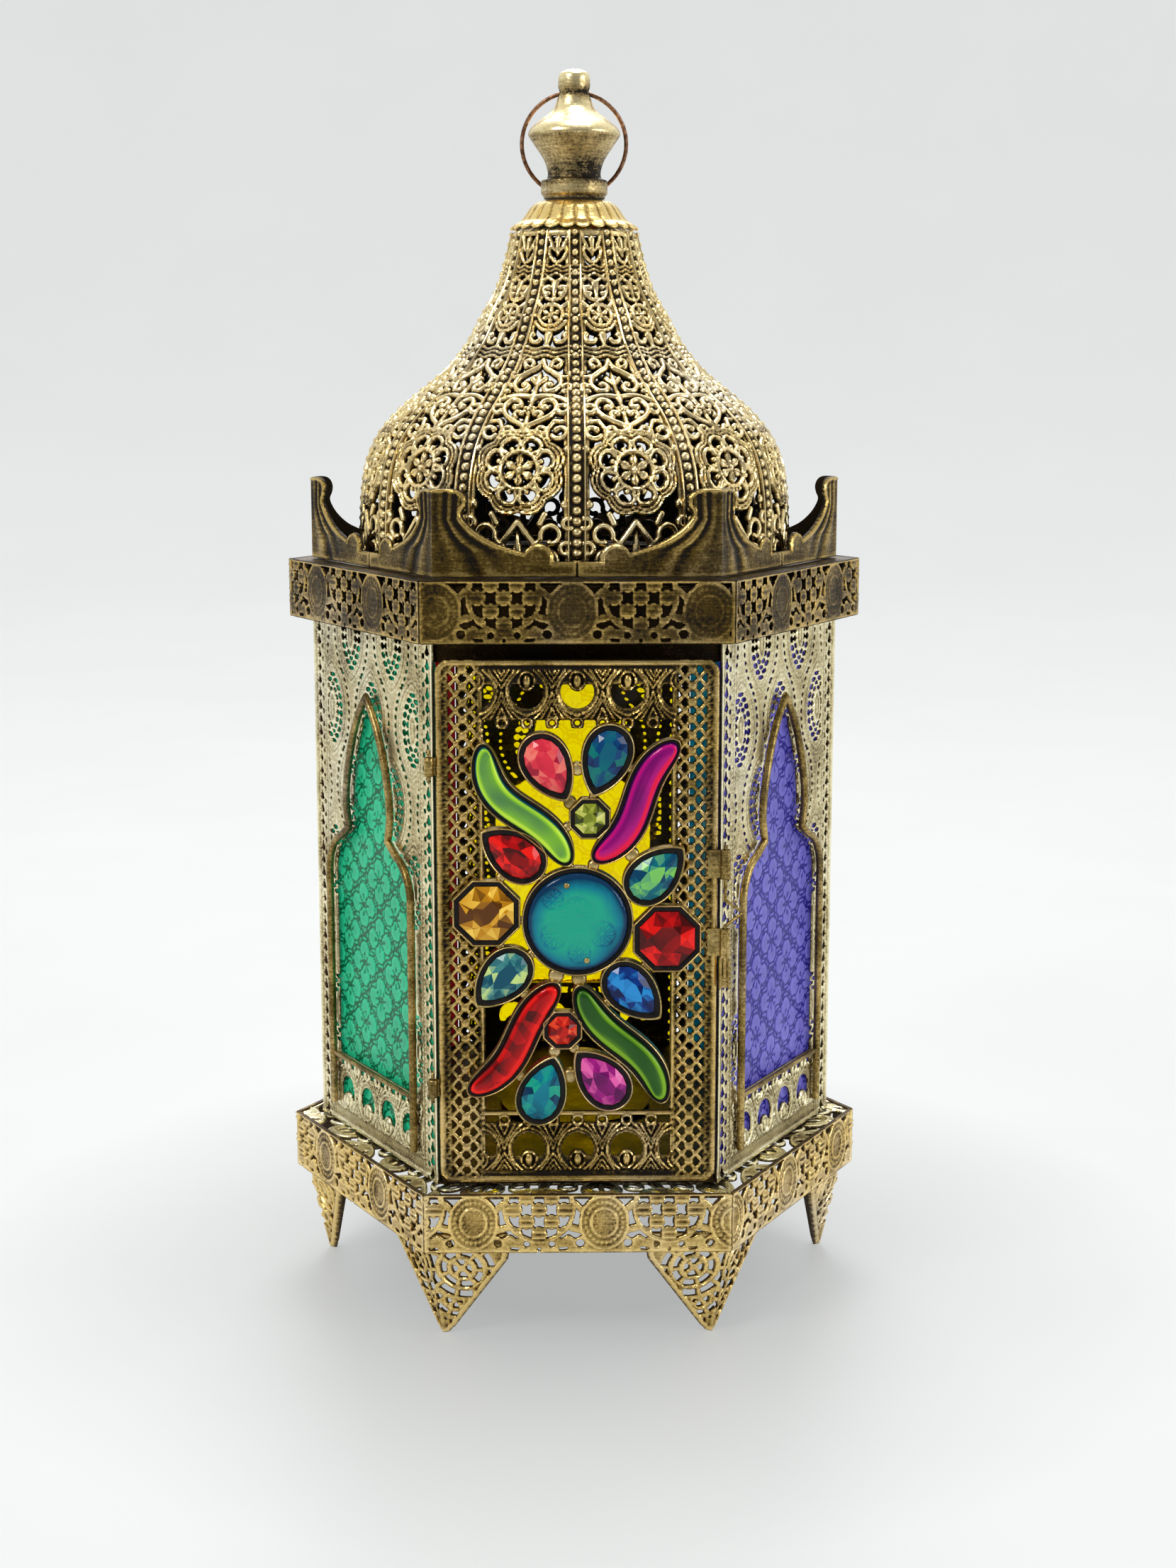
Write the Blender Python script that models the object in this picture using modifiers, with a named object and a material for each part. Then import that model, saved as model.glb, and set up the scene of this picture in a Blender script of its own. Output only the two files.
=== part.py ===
"""Candle lantern: a six-sided brass lantern with a domed roof, coloured panes and a gem-set door.

+Z is up. The origin is on the floor, on the lantern's axis. Two corners of the hexagon lie on the
X axis, and the door faces -Y. Sizes are in millimetres and become metres when a mesh is made.
"""
import math

import bmesh
import bpy
from mathutils import Matrix, Vector

MM = 0.001
SIDES = 6
COS30 = math.cos(math.radians(30))

# Body: a hexagonal tube of sheet brass. An apothem is the distance from the axis to a flat side.
BODY = 75.0 * COS30             # outer apothem of the side panels
SHEET = 1.2                     # sheet thickness
SEAM = 0.3                      # gap between two pieces that touch
PANEL_WIDTH = 73.0
PANEL_Z = (42.6, 203.6)

# Keyhole window in each side panel: half widths and heights.
SILL_Z = 64.0
LEG_Z = 49.0                    # the moulding's legs end below the sill
WINDOW_HALF = 24.6              # half width of the straight part
LOBE_Z = 118.0                  # where the straight sides start to close
WAIST = (11.3, 132.8)           # cusp between the wide part and the upper lobe
UPPER_LOBE = [(12.8, 140.0), (11.6, 148.0), (8.5, 157.0), (4.5, 164.5)]
APEX_Z = 170.0
MOULDING_R = 1.3

PANE_OUTER = 63.4               # apothem of a pane's outer face
PANE_THICK = 2.0
PANE_WIDTH = 67.0
PANE_Z = (45.0, 184.0)

# Bands above and below the body, and the plates that close them.
BASE_BAND = 72.0
BASE_BAND_Z = (25.9, 42.3)
BASE_LEDGE = 58.0               # inner apothem of the base band's top flange
TOP_BAND = 70.7
TOP_BAND_Z = (190.3, 204.9)
COLLAR = 63.4                   # outer apothem of the collar that drops inside the panels
COLLAR_Z = 186.0
BAND_SHEET = 1.0
DECK_Z = (205.2, 206.2)
DECK_HOLE_R = 52.0
TRAY_Z = (42.6, 43.8)
TRAY_RIM_Z = 44.7
SEAT_R = 22.0                   # raised round seat for the candle
SEAT_Z = 45.6

# Corner pieces. Radii are along the hexagon's corner, from the axis.
FOOT_TIP = 73.3
FOOT_TOP = 81.1
FOOT_TOP_Z = 31.0
FOOT_WING = 21.0                # width of each wing at the band's lower edge
FOOT_TIP_WING = 3.0
FOOT_CUT = 2.0                  # the blank runs this far past the floor before it is trimmed
LEAF_CORNER = 74.4
LEAF_Z = 206.5
LEAF_OUTLINE = [
    (0, 22.3), (5.0, 22.0), (8.7, 18.5), (6.7, 14.5), (11.0, 9.8), (17.0, 7.3),
    (23.6, 6.5), (28.6, 8.5), (31.2, 6.0), (30.6, 0),
]                               # distance from the fold, height above LEAF_Z
LEAF_SHEET = 0.9

# Roof: an ogee dome, a fluted cap and a turned finial with a ring through its neck.
DOME_PROFILE = [
    (17.6, 296.4), (19.4, 288.8), (22.0, 281.0), (26.1, 273.7), (30.2, 266.3), (36.0, 259.2),
    (43.3, 253.1), (49.9, 247.5), (55.5, 240.8), (58.8, 233.3), (60.2, 225.3), (60.7, 215.9),
    (60.7, 206.5),
]                               # radius, height
DOME_SHEET = 1.0
CAP_PROFILE = [
    (0, 304.9), (9.3, 304.9), (12.5, 301.5), (16.3, 298.9), (18.0, 297.2), (17.4, 296.8),
    (12.0, 300.4), (9.0, 303.6), (0, 303.6),
]
FINIAL_PROFILE = [
    (0, 340.0), (2.6, 339.8), (4.2, 338.9), (4.4, 335.6), (4.1, 333.6), (5.3, 330.3), (7.8, 327.8),
    (10.9, 325.2), (12.6, 323.2), (12.6, 321.8), (10.6, 319.3), (8.5, 316.8), (7.4, 314.2),
    (7.2, 311.7), (7.6, 310.2), (9.2, 310.1), (9.2, 306.4), (8.4, 306.1), (8.4, 305.2), (0, 305.2),
]
RING_PIVOT_Z = 334.0
RING_R = 14.5
RING_WIRE_R = 0.58
RING_LEAN = 20.4                # degrees from straight down, where it rests on the collar
RING_HOLE_R = 1.8

# Door: a frame with a window, behind a cluster of stones in soldered bezels.
DOOR_FACE_Y = -66.4             # front of the frame
DOOR_HALF = 37.0
DOOR_Z = (44.0, 185.6)
DOOR_CORNER_R = 4.0
DOOR_WINDOW_HALF = 24.0
DOOR_WINDOW_Z = (64.0, 167.4)
HINGE_XY = (-38.6, -66.9)
KNUCKLE_Z = (68.0, 155.0)       # lower end of each knuckle
KNUCKLE_LENGTH = 5.0
KNUCKLE_R = 1.3
KNUCKLE_TAB = 0.9               # how deep the tab behind a knuckle runs into the sheet
TAB_LAP = 1.5                   # how far it runs over the sheet's edge
PIN_R = 0.45
PIN_CLEARANCE = 0.3
STAPLE_REACH = 1.4              # from a knuckle's end to the staple's leg
STAPLE_LEG = (-0.4, 2.45)       # from the pin to the leg's end at the body
STAPLE_BEND = 0.6

SETTING_BACK_Y = DOOR_FACE_Y - SEAM
BEZEL_DEPTH = 3.4
BEZEL_WALL = 0.9
STONE_GAP = 0.3
STONE_BACK_Y = SETTING_BACK_Y - 0.2
GIRDLE_Y = -69.6
STONE_CROWN = 1.6               # height of the crown above the girdle
CROWN_INSET = 1.7
SOLDER_REACH = 2.7              # bezels closer than this are joined with a post of solder
SOLDER_LAP = 0.8                # how far a post runs into each bezel
SOLDER_DEPTH = 2.6

# Latch: a wire bolt that slides in two clasps on the door and drops into a keeper on the body.
BOLT_X, BOLT_Y = 38.8, -68.2
BOLT_R = 0.55
BOLT_TOP_Z, BOLT_END_Z = 136.8, 101.0
BOLT_BEND = [(0, 122.0), (4.6, 118.6), (0, 115.0)]   # the thumb bend: sideways, height
CLASP_Z = [(127.7, 135.5), (106.6, 114.3)]
CLASP_R = 1.4
CLASP_HOLE_R = 0.85
CLASP_TAB = (4.6, 0.8)          # width from the bolt, thickness
KEEPER_Z = (98.0, 105.9)
KEEPER_HALF = 1.4               # half width of the channel
KEEPER_DEPTH = (-0.8, 1.8)      # front and back of the channel, from the bolt
KEEPER_SLOT = (0.9, 1.0)        # half width of its slot, depth behind the bolt
KEEPER_TAB = (1.0, 4.1)         # the tab to the body: side and far end, from the bolt

# Stones: kind, centre x and z, length over the bezel, angle of the point, material.
PEAR, OCTAGON, ROUND = "pear", "octagon", "round"
PEAR_LENGTH, PEAR_RATIO = 20.0, 0.675
PEAR_PEAK = 0.77                # largest value of the pear's width formula
PEAR_TIP = 1.52                 # how far the tip moves in for each unit of inset
STONES = {
    "stone_centre": (ROUND, 0.0, 116.7, 29.4, 0, "gem_teal"),
    "stone_octagon_left": (OCTAGON, -23.9, 119.0, 17.8, 0, "gem_amber"),
    "stone_octagon_right": (OCTAGON, 23.5, 112.0, 18.0, 0, "gem_red"),
    "stone_octagon_upper": (OCTAGON, 3.2, 144.2, 10.9, 0, "gem_chartreuse"),
    "stone_octagon_lower": (OCTAGON, -4.0, 87.2, 10.5, 0, "gem_orange"),
    "stone_pear_top_left": (PEAR, -7.5, 157.5, PEAR_LENGTH, -61, "gem_pink"),
    "stone_pear_top_right": (PEAR, 7.2, 159.4, PEAR_LENGTH, -109, "gem_sky"),
    "stone_pear_upper_left": (PEAR, -17.1, 135.0, PEAR_LENGTH, 145, "gem_red"),
    "stone_pear_upper_right": (PEAR, 20.6, 129.5, PEAR_LENGTH, 44, "gem_sea"),
    "stone_pear_lower_left": (PEAR, -20.1, 101.1, PEAR_LENGTH, -133, "gem_aqua"),
    "stone_pear_lower_right": (PEAR, 14.8, 97.4, PEAR_LENGTH, -45, "gem_blue"),
    "stone_pear_bottom_left": (PEAR, -9.2, 70.7, PEAR_LENGTH, 72, "gem_teal"),
    "stone_pear_bottom_right": (PEAR, 6.0, 73.9, PEAR_LENGTH, 131, "gem_magenta"),
}
# S-shaped stones: both ends of the centreline, its bow and its wave, material.
S_WIDTH = 8.0
S_STONES = {
    "stone_s_upper_left": ((-24.4, 163.4), (-2.5, 132.4), -2.9, -2.3, "gem_lime"),
    "stone_s_upper_right": ((25.8, 163.9), (4.4, 133.5), 0.8, -1.9, "gem_crimson"),
    "stone_s_lower_left": ((-5.5, 99.3), (-28.6, 70.5), 1.8, -1.5, "gem_red"),
    "stone_s_lower_right": ((0.5, 98.7), (22.4, 67.8), 0.7, -1.8, "gem_green"),
}

# Colour, roughness, metallic, transmission.
FINISHES = {
    "brass_dark": ((0.30, 0.20, 0.08, 1), 0.42, 1.0, 0.0),
    "brass_gold": ((0.66, 0.47, 0.19, 1), 0.34, 1.0, 0.0),
    "brass_bright": ((0.80, 0.62, 0.28, 1), 0.24, 1.0, 0.0),
    "wire_copper": ((0.35, 0.20, 0.11, 1), 0.45, 1.0, 0.0),
    "glass_green": ((0.02, 0.50, 0.16, 1), 0.15, 0.0, 0.8),
    "glass_violet": ((0.12, 0.10, 0.55, 1), 0.15, 0.0, 0.8),
    "glass_yellow": ((0.85, 0.62, 0.05, 1), 0.15, 0.0, 0.8),
    "glass_red": ((0.60, 0.03, 0.05, 1), 0.15, 0.0, 0.8),
    "glass_turquoise": ((0.02, 0.45, 0.50, 1), 0.15, 0.0, 0.8),
    "gem_teal": ((0.02, 0.42, 0.45, 1), 0.08, 0.0, 0.6),
    "gem_amber": ((0.85, 0.42, 0.04, 1), 0.08, 0.0, 0.6),
    "gem_red": ((0.62, 0.02, 0.04, 1), 0.08, 0.0, 0.6),
    "gem_chartreuse": ((0.62, 0.70, 0.08, 1), 0.08, 0.0, 0.6),
    "gem_orange": ((0.85, 0.16, 0.05, 1), 0.08, 0.0, 0.6),
    "gem_pink": ((0.90, 0.25, 0.28, 1), 0.08, 0.0, 0.6),
    "gem_sky": ((0.06, 0.36, 0.62, 1), 0.08, 0.0, 0.6),
    "gem_sea": ((0.02, 0.40, 0.36, 1), 0.08, 0.0, 0.6),
    "gem_aqua": ((0.45, 0.75, 0.75, 1), 0.08, 0.0, 0.6),
    "gem_blue": ((0.02, 0.12, 0.60, 1), 0.08, 0.0, 0.6),
    "gem_magenta": ((0.70, 0.05, 0.42, 1), 0.08, 0.0, 0.6),
    "gem_lime": ((0.40, 0.70, 0.12, 1), 0.08, 0.0, 0.6),
    "gem_crimson": ((0.66, 0.04, 0.22, 1), 0.08, 0.0, 0.6),
    "gem_green": ((0.03, 0.50, 0.20, 1), 0.08, 0.0, 0.6),
}

FACE_NAMES = ["right_front", "right_back", "back", "left_back", "left_front"]
PANE_FINISHES = ["glass_violet", "glass_turquoise", "glass_yellow", "glass_red", "glass_green"]
CORNER_NAMES = ["right", "back_right", "back_left", "left", "front_left", "front_right"]


def clear_scene():
    for obj in list(bpy.data.objects):
        bpy.data.objects.remove(obj, do_unlink=True)


def new_collection(name):
    group = bpy.data.collections.new(name)
    bpy.context.scene.collection.children.link(group)
    return group


def make_materials():
    for name, (color, roughness, metallic, transmission) in FINISHES.items():
        mat = bpy.data.materials.new(name)
        mat.use_nodes = True
        shader = mat.node_tree.nodes["Principled BSDF"]
        shader.inputs["Base Color"].default_value = color
        shader.inputs["Roughness"].default_value = roughness
        shader.inputs["Metallic"].default_value = metallic
        shader.inputs["Transmission Weight"].default_value = transmission


# --- small helpers -----------------------------------------------------------------------------

def add_object(name, data, material=None):
    """A named object in the parts collection."""
    obj = bpy.data.objects.new(name, data)
    parts.objects.link(obj)
    if material:
        data.materials.append(bpy.data.materials[material])
    return obj


def mesh_from(bm, name):
    """The bmesh, in millimetres, as a mesh in metres."""
    bmesh.ops.recalc_face_normals(bm, faces=bm.faces)
    bmesh.ops.scale(bm, vec=(MM, MM, MM), verts=bm.verts)
    mesh = bpy.data.meshes.new(name)
    bm.to_mesh(mesh)
    bm.free()
    return mesh


def make_cutter(obj):
    """The object becomes a tool for booleans, not a part."""
    for group in list(obj.users_collection):
        group.objects.unlink(obj)
    cutters.objects.link(obj)
    obj.hide_render = True
    obj.display_type = "WIRE"
    return obj


def boolean(obj, tool, operation, self_union=False):
    mod = obj.modifiers.new(operation.lower(), "BOOLEAN")
    mod.operation = operation
    mod.object = tool
    mod.solver = "EXACT"
    mod.use_self = self_union


def solidify(obj, thickness):
    """Thickens an open sheet against its normals, so that its face stays where it was drawn."""
    mod = obj.modifiers.new("sheet", "SOLIDIFY")
    mod.thickness = thickness * MM
    mod.offset = -1
    mod.use_even_offset = True


def place(obj, location=(0, 0, 0), rotation=(0, 0, 0)):
    obj.location = [c * MM for c in location]
    obj.rotation_euler = [math.radians(a) for a in rotation]
    return obj


def box(bm, low, high):
    """A box between two corners."""
    size = [h - l for l, h in zip(low, high)]
    centre = [(h + l) / 2 for l, h in zip(low, high)]
    matrix = Matrix.Translation(centre) @ Matrix.Diagonal((*size, 1))
    bmesh.ops.create_cube(bm, size=1, matrix=matrix)


def cylinder(bm, centre, radius, length, segments=16, axis="Z"):
    """A closed cylinder along Z or X."""
    turn = Matrix.Rotation(math.pi / 2, 4, "Y") if axis == "X" else Matrix()
    matrix = Matrix.Translation(centre) @ turn
    bmesh.ops.create_cone(bm, cap_ends=True, segments=segments, radius1=radius, radius2=radius,
                          depth=length, matrix=matrix)


def turned(name, profile, steps, material, closed=False):
    """A profile of (radius, height), outer side first from top to bottom, turned about Z."""
    bm = bmesh.new()
    verts = [bm.verts.new((r, 0, z)) for r, z in profile]
    pairs = list(zip(verts, verts[1:])) + ([(verts[-1], verts[0])] if closed else [])
    for a, b in pairs:
        bm.edges.new((a, b))
    obj = add_object(name, mesh_from(bm, name), material)
    mod = obj.modifiers.new("turn", "SCREW")
    mod.steps = steps
    mod.render_steps = steps
    mod.use_merge_vertices = True
    mod.merge_threshold = 0.00001
    mod.use_smooth_shade = steps > SIDES
    return obj


def hexagonal(name, section, material):
    """A closed section of (apothem, height) carried round the six sides."""
    return turned(name, [(a / COS30, z) for a, z in section], SIDES, material, closed=section[0][0] > 0)


def flat_sheet(name, outlines, material, y, thickness):
    """A sheet facing -Y: the first outline of (x, z) is its edge and the others are holes."""
    bm = bmesh.new()
    edges = []
    for outline in outlines:
        verts = [bm.verts.new((x, y, z)) for x, z in outline]
        edges += [bm.edges.new((a, b)) for a, b in zip(verts, verts[1:] + verts[:1])]
    bmesh.ops.triangle_fill(bm, use_beauty=True, edges=edges, normal=(0, -1, 0))
    for face in bm.faces:
        face.normal_update()
        if face.normal.y > 0:
            face.normal_flip()
    bmesh.ops.scale(bm, vec=(MM, MM, MM), verts=bm.verts)
    mesh = bpy.data.meshes.new(name)
    bm.to_mesh(mesh)
    bm.free()
    obj = add_object(name, mesh, material)
    solidify(obj, thickness)
    return obj


def wire(name, points, radius, material, cyclic=False):
    """A round wire along points, with closed ends."""
    curve = bpy.data.curves.new(name, "CURVE")
    curve.dimensions = "3D"
    curve.bevel_depth = radius * MM
    curve.bevel_resolution = 2
    curve.use_fill_caps = not cyclic
    line = curve.splines.new("POLY")
    line.points.add(len(points) - 1)
    for point, co in zip(line.points, points):
        point.co = (*[c * MM for c in co], 1)
    line.use_cyclic_u = cyclic
    return add_object(name, curve, material)


def arc(centre, radius, start, end, steps):
    """Points on an arc in the (x, z) plane; angles in degrees."""
    angles = [math.radians(start + (end - start) * i / steps) for i in range(steps + 1)]
    return [(centre[0] + radius * math.cos(a), centre[1] + radius * math.sin(a)) for a in angles]


def hexagon(apothem):
    radius = apothem / COS30
    return [(radius * math.cos(k * math.pi / 3), radius * math.sin(k * math.pi / 3)) for k in range(SIDES)]


# --- body, bands and plates --------------------------------------------------------------------

def keyhole(grow=0.0):
    """Half of the window's outline from the sill to the apex, on the +x side."""
    shoulder = arc((WAIST[0] + 1.0, LOBE_Z), WINDOW_HALF - WAIST[0] - 1.0, 0, 72, 4)
    side = [(WINDOW_HALF, SILL_Z)] + shoulder + [WAIST] + UPPER_LOBE
    return [(x + grow, z) for x, z in side] + [(0.0, APEX_Z + grow)]


def make_side_panel(index, name):
    """A sheet with a keyhole window, turned to its side of the hexagon."""
    right = keyhole()
    left = [(-x, z) for x, z in reversed(right[:-1])]
    half = PANEL_WIDTH / 2
    edge = [(-half, PANEL_Z[0]), (half, PANEL_Z[0]), (half, PANEL_Z[1]), (-half, PANEL_Z[1])]
    panel = flat_sheet("panel_" + name, [edge, right + left], "brass_gold", -BODY, SHEET)
    return place(panel, rotation=(0, 0, 60 * (index + 1)))


def make_moulding(index, name):
    """A half-round strip round the window, whose legs run on below the sill."""
    right = [(WINDOW_HALF + MOULDING_R, LEG_Z)] + keyhole(MOULDING_R)
    line = right + [(-x, z) for x, z in reversed(right[:-1])]
    y = -BODY - MOULDING_R - SEAM
    strip = wire("moulding_" + name, [(x, y, z) for x, z in line], MOULDING_R, "brass_bright")
    return place(strip, rotation=(0, 0, 60 * (index + 1)))


def make_pane(index, name):
    bm = bmesh.new()
    half = PANE_WIDTH / 2
    box(bm, (-half, -PANE_OUTER, PANE_Z[0]), (half, -PANE_OUTER + PANE_THICK, PANE_Z[1]))
    pane = add_object("pane_" + name, mesh_from(bm, "pane"), PANE_FINISHES[index])
    return place(pane, rotation=(0, 0, 60 * (index + 1)))


def make_bands():
    """Both bands stand off the body and turn in over it; the upper one has a collar inside."""
    low, high = BASE_BAND_Z
    inner = BASE_BAND - BAND_SHEET
    hexagonal("base_band", [
        (BASE_BAND, high), (BASE_BAND, low), (inner, low), (inner, high - BAND_SHEET),
        (BASE_LEDGE, high - BAND_SHEET), (BASE_LEDGE, high),
    ], "brass_gold")
    low, high = TOP_BAND_Z
    inner = TOP_BAND - BAND_SHEET
    hexagonal("top_band", [
        (TOP_BAND, high), (TOP_BAND, low), (inner, low), (inner, high - BAND_SHEET),
        (COLLAR, high - BAND_SHEET), (COLLAR, COLLAR_Z), (COLLAR - BAND_SHEET, COLLAR_Z),
        (COLLAR - BAND_SHEET, high),
    ], "brass_dark")


def make_roof_deck():
    """A hexagonal plate with a round opening under the dome."""
    top = DECK_Z[1]
    hole = arc((0, 0), DECK_HOLE_R, 0, 345, 23)
    deck = flat_sheet("roof_deck", [hexagon(TOP_BAND), hole], "brass_gold", -top, top - DECK_Z[0])
    return place(deck, rotation=(-90, 0, 0))


def make_base_tray():
    """The floor of the body: a rimmed tray with a round seat for the candle."""
    rim = COLLAR
    low, high = TRAY_Z
    tray = hexagonal("base_tray", [
        (rim, TRAY_RIM_Z), (rim, low), (0, low), (0, high), (rim - 1, high), (rim - 1, TRAY_RIM_Z),
    ], "brass_dark")
    bm = bmesh.new()
    cylinder(bm, (0, 0, (high + SEAT_Z) / 2 - 0.2), SEAT_R, SEAT_Z - high + 0.4, 28)
    seat = make_cutter(add_object("candle_seat", mesh_from(bm, "candle_seat")))
    boolean(tray, seat, "UNION")
    return tray


# --- corner pieces -----------------------------------------------------------------------------

def folded(name, outline, corner_at, material, thickness):
    """A sheet folded along a corner of the hexagon. The outline is (distance from the fold, height),
    first and last points on the fold, and corner_at gives the fold's radius at a height."""
    bm = bmesh.new()
    wing = Vector((-0.5, COS30, 0))
    points = [Vector((corner_at(z), 0, z)) + wing * u for u, z in outline]
    face = bm.faces.new([bm.verts.new(p) for p in points])
    face.normal_update()
    if face.normal.x < 0:
        face.normal_flip()
    bmesh.ops.scale(bm, vec=(MM, MM, MM), verts=bm.verts)
    mesh = bpy.data.meshes.new(name)
    bm.to_mesh(mesh)
    bm.free()
    obj = add_object(name, mesh, material)
    mirror = obj.modifiers.new("fold", "MIRROR")
    mirror.use_axis = (False, True, False)
    mirror.merge_threshold = 0.00002
    solidify(obj, thickness)
    return obj


def make_foot(index, name, floor):
    """A folded corner foot that leans in towards its tip and tucks behind the base band."""
    slope = (FOOT_TOP - FOOT_TIP) / FOOT_TOP_Z
    band_z = BASE_BAND_Z[0]
    outline = [
        (0, -FOOT_CUT), (0, FOOT_TOP_Z), (FOOT_WING, FOOT_TOP_Z), (FOOT_WING, band_z - 2),
        (FOOT_TIP_WING, -FOOT_CUT),
    ]
    foot = folded("foot_" + name, outline, lambda z: FOOT_TIP + slope * z, "brass_gold", SHEET)
    boolean(foot, floor, "DIFFERENCE")
    return place(foot, rotation=(0, 0, 60 * index))


def make_leaf(index, name):
    """An upright folded leaf on the roof's corner."""
    outline = [(0, LEAF_Z)] + [(u, LEAF_Z + h) for u, h in LEAF_OUTLINE]
    leaf = folded("crown_leaf_" + name, outline, lambda z: LEAF_CORNER, "brass_gold", LEAF_SHEET)
    return place(leaf, rotation=(0, 0, 60 * index))


# --- roof --------------------------------------------------------------------------------------

def make_dome():
    dome = turned("dome", DOME_PROFILE, 24, "brass_gold")
    solidify(dome, DOME_SHEET)
    return dome


def make_finial():
    finial = turned("finial", FINIAL_PROFILE, 20, "brass_bright")
    bm = bmesh.new()
    cylinder(bm, (0, 0, RING_PIVOT_Z - 0.3), RING_HOLE_R, 30, 12, "X")
    boolean(finial, make_cutter(add_object("ring_hole", mesh_from(bm, "ring_hole"))), "DIFFERENCE")
    return finial


def make_hanging_ring():
    """A wire ring through the finial's neck; its origin is on the axis that it swings about."""
    bpy.ops.mesh.primitive_torus_add(major_radius=RING_R * MM, minor_radius=RING_WIRE_R * MM,
                                     major_segments=36, minor_segments=8)
    ring = bpy.context.object
    ring.name = "hanging_ring"
    ring.data.transform(Matrix.Translation((0, RING_R * MM, 0)))
    for group in list(ring.users_collection):
        group.objects.unlink(ring)
    parts.objects.link(ring)
    ring.data.materials.append(bpy.data.materials["wire_copper"])
    return place(ring, (0, 0, RING_PIVOT_Z), (RING_LEAN - 90, 0, 0))


# --- stones and their setting ------------------------------------------------------------------

def stone_outline(kind, x, z, length, angle, inset=0.0):
    """The bezel's outer edge as (x, z) points, or the same outline moved in by inset."""
    if kind == ROUND:
        return arc((x, z), length / 2 - inset, 0, 345, 23)
    if kind == OCTAGON:
        corner_r = (length / 2 - inset) / math.cos(math.pi / 8)
        return arc((x, z), corner_r, 22.5, 337.5, 7)
    turn = Vector((math.cos(math.radians(angle)), math.sin(math.radians(angle))))
    side = Vector((-turn.y, turn.x))
    centre = Vector((x, z)) - turn * inset * (PEAR_TIP - 1) / 2
    half_width = length * PEAR_RATIO / 2 - inset
    half_length = length / 2 - inset * (PEAR_TIP + 1) / 2
    outline = []
    for i in range(16):
        t = 2 * math.pi * i / 16
        across = math.sin(t) * abs(math.sin(t / 2)) / PEAR_PEAK
        outline.append(tuple(centre + turn * half_length * math.cos(t) + side * half_width * across))
    return outline


def s_outline(start, end, bow, wave, inset=0.0, steps=9):
    """The same for an S-shaped stone: a wavy centreline with a width that closes at both ends."""
    a, b = Vector(start), Vector(end)
    along = (b - a).normalized()
    side = Vector((-along.y, along.x))
    line = []
    for i in range(steps + 1):
        s = i / steps
        sway = bow * math.sin(math.pi * s) + wave * math.sin(2 * math.pi * s)
        line.append(a + (b - a) * s + side * sway)
    left, right = [], []
    for i in range(1, steps):
        heading = (line[i + 1] - line[i - 1]).normalized()
        normal = Vector((-heading.y, heading.x))
        width = (S_WIDTH / 2 - inset) * math.sqrt(1 - abs(2 * i / steps - 1) ** 4)
        left.append(tuple(line[i] + normal * width))
        right.append(tuple(line[i] - normal * width))
    ends = [tuple(a - along * (1 - inset)), tuple(b + along * (1 - inset))]
    return [ends[0]] + right + [ends[1]] + left[::-1]


def all_outlines(inset=0.0):
    """Each stone's outline by name."""
    outlines = {n: stone_outline(*s[:5], inset) for n, s in STONES.items()}
    return outlines | {n: s_outline(*s[:4], inset) for n, s in S_STONES.items()}


def prism(bm, outline, y_back, y_front):
    """A solid between two depths with the outline's shape."""
    face = bm.faces.new([bm.verts.new((x, y_back, z)) for x, z in outline])
    grown = bmesh.ops.extrude_face_region(bm, geom=[face])
    verts = [v for v in grown["geom"] if isinstance(v, bmesh.types.BMVert)]
    bmesh.ops.translate(bm, vec=(0, y_front - y_back, 0), verts=verts)
    return next(f for f in grown["geom"] if isinstance(f, bmesh.types.BMFace))


def make_stone(name, outline, table, material):
    """A stone with straight sides and a crown that slopes in from its outline to its table."""
    bm = bmesh.new()
    girdle = prism(bm, outline, STONE_BACK_Y, GIRDLE_Y)
    grown = bmesh.ops.extrude_face_region(bm, geom=[girdle])
    bm.faces.remove(girdle)
    for vert in (v for v in grown["geom"] if isinstance(v, bmesh.types.BMVert)):
        here = Vector((vert.co.x, vert.co.z))
        nearest = min(range(len(outline)), key=lambda i: (Vector(outline[i]) - here).length)
        vert.co = (table[nearest][0], GIRDLE_Y - STONE_CROWN, table[nearest][1])
    return add_object(name, mesh_from(bm, name), material)


def solder_posts(outlines):
    """The middle and radius of a post in each short gap between two bezels."""
    found = []
    for i, one in enumerate(outlines):
        for two in outlines[i + 1:]:
            gap, a, b = min(((Vector(p) - Vector(q)).length, p, q) for p in one for q in two)
            if gap < SOLDER_REACH:
                found.append((((a[0] + b[0]) / 2, (a[1] + b[1]) / 2), gap / 2 + SOLDER_LAP))
    return found


def make_setting():
    """All bezels as one soldered piece: solid blanks and solder posts, with the stones' holes cut."""
    outlines = list(all_outlines().values())
    bm = bmesh.new()
    for outline in outlines[1:]:
        prism(bm, outline, SETTING_BACK_Y, SETTING_BACK_Y - BEZEL_DEPTH)
    for centre, radius in solder_posts(outlines):
        prism(bm, arc(centre, radius, 0, 300, 5), SETTING_BACK_Y - 0.1, SETTING_BACK_Y - SOLDER_DEPTH)
    blanks = make_cutter(add_object("bezel_blanks", mesh_from(bm, "bezel_blanks")))
    bm = bmesh.new()
    for outline in all_outlines(BEZEL_WALL).values():
        prism(bm, outline, SETTING_BACK_Y + 2, SETTING_BACK_Y - BEZEL_DEPTH - 2)
    holes = make_cutter(add_object("stone_holes", mesh_from(bm, "stone_holes")))
    bm = bmesh.new()
    prism(bm, outlines[0], SETTING_BACK_Y, SETTING_BACK_Y - BEZEL_DEPTH)
    setting = add_object("gem_setting", mesh_from(bm, "gem_setting"), "brass_bright")
    boolean(setting, blanks, "UNION", self_union=True)
    boolean(setting, holes, "DIFFERENCE")
    return setting


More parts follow.
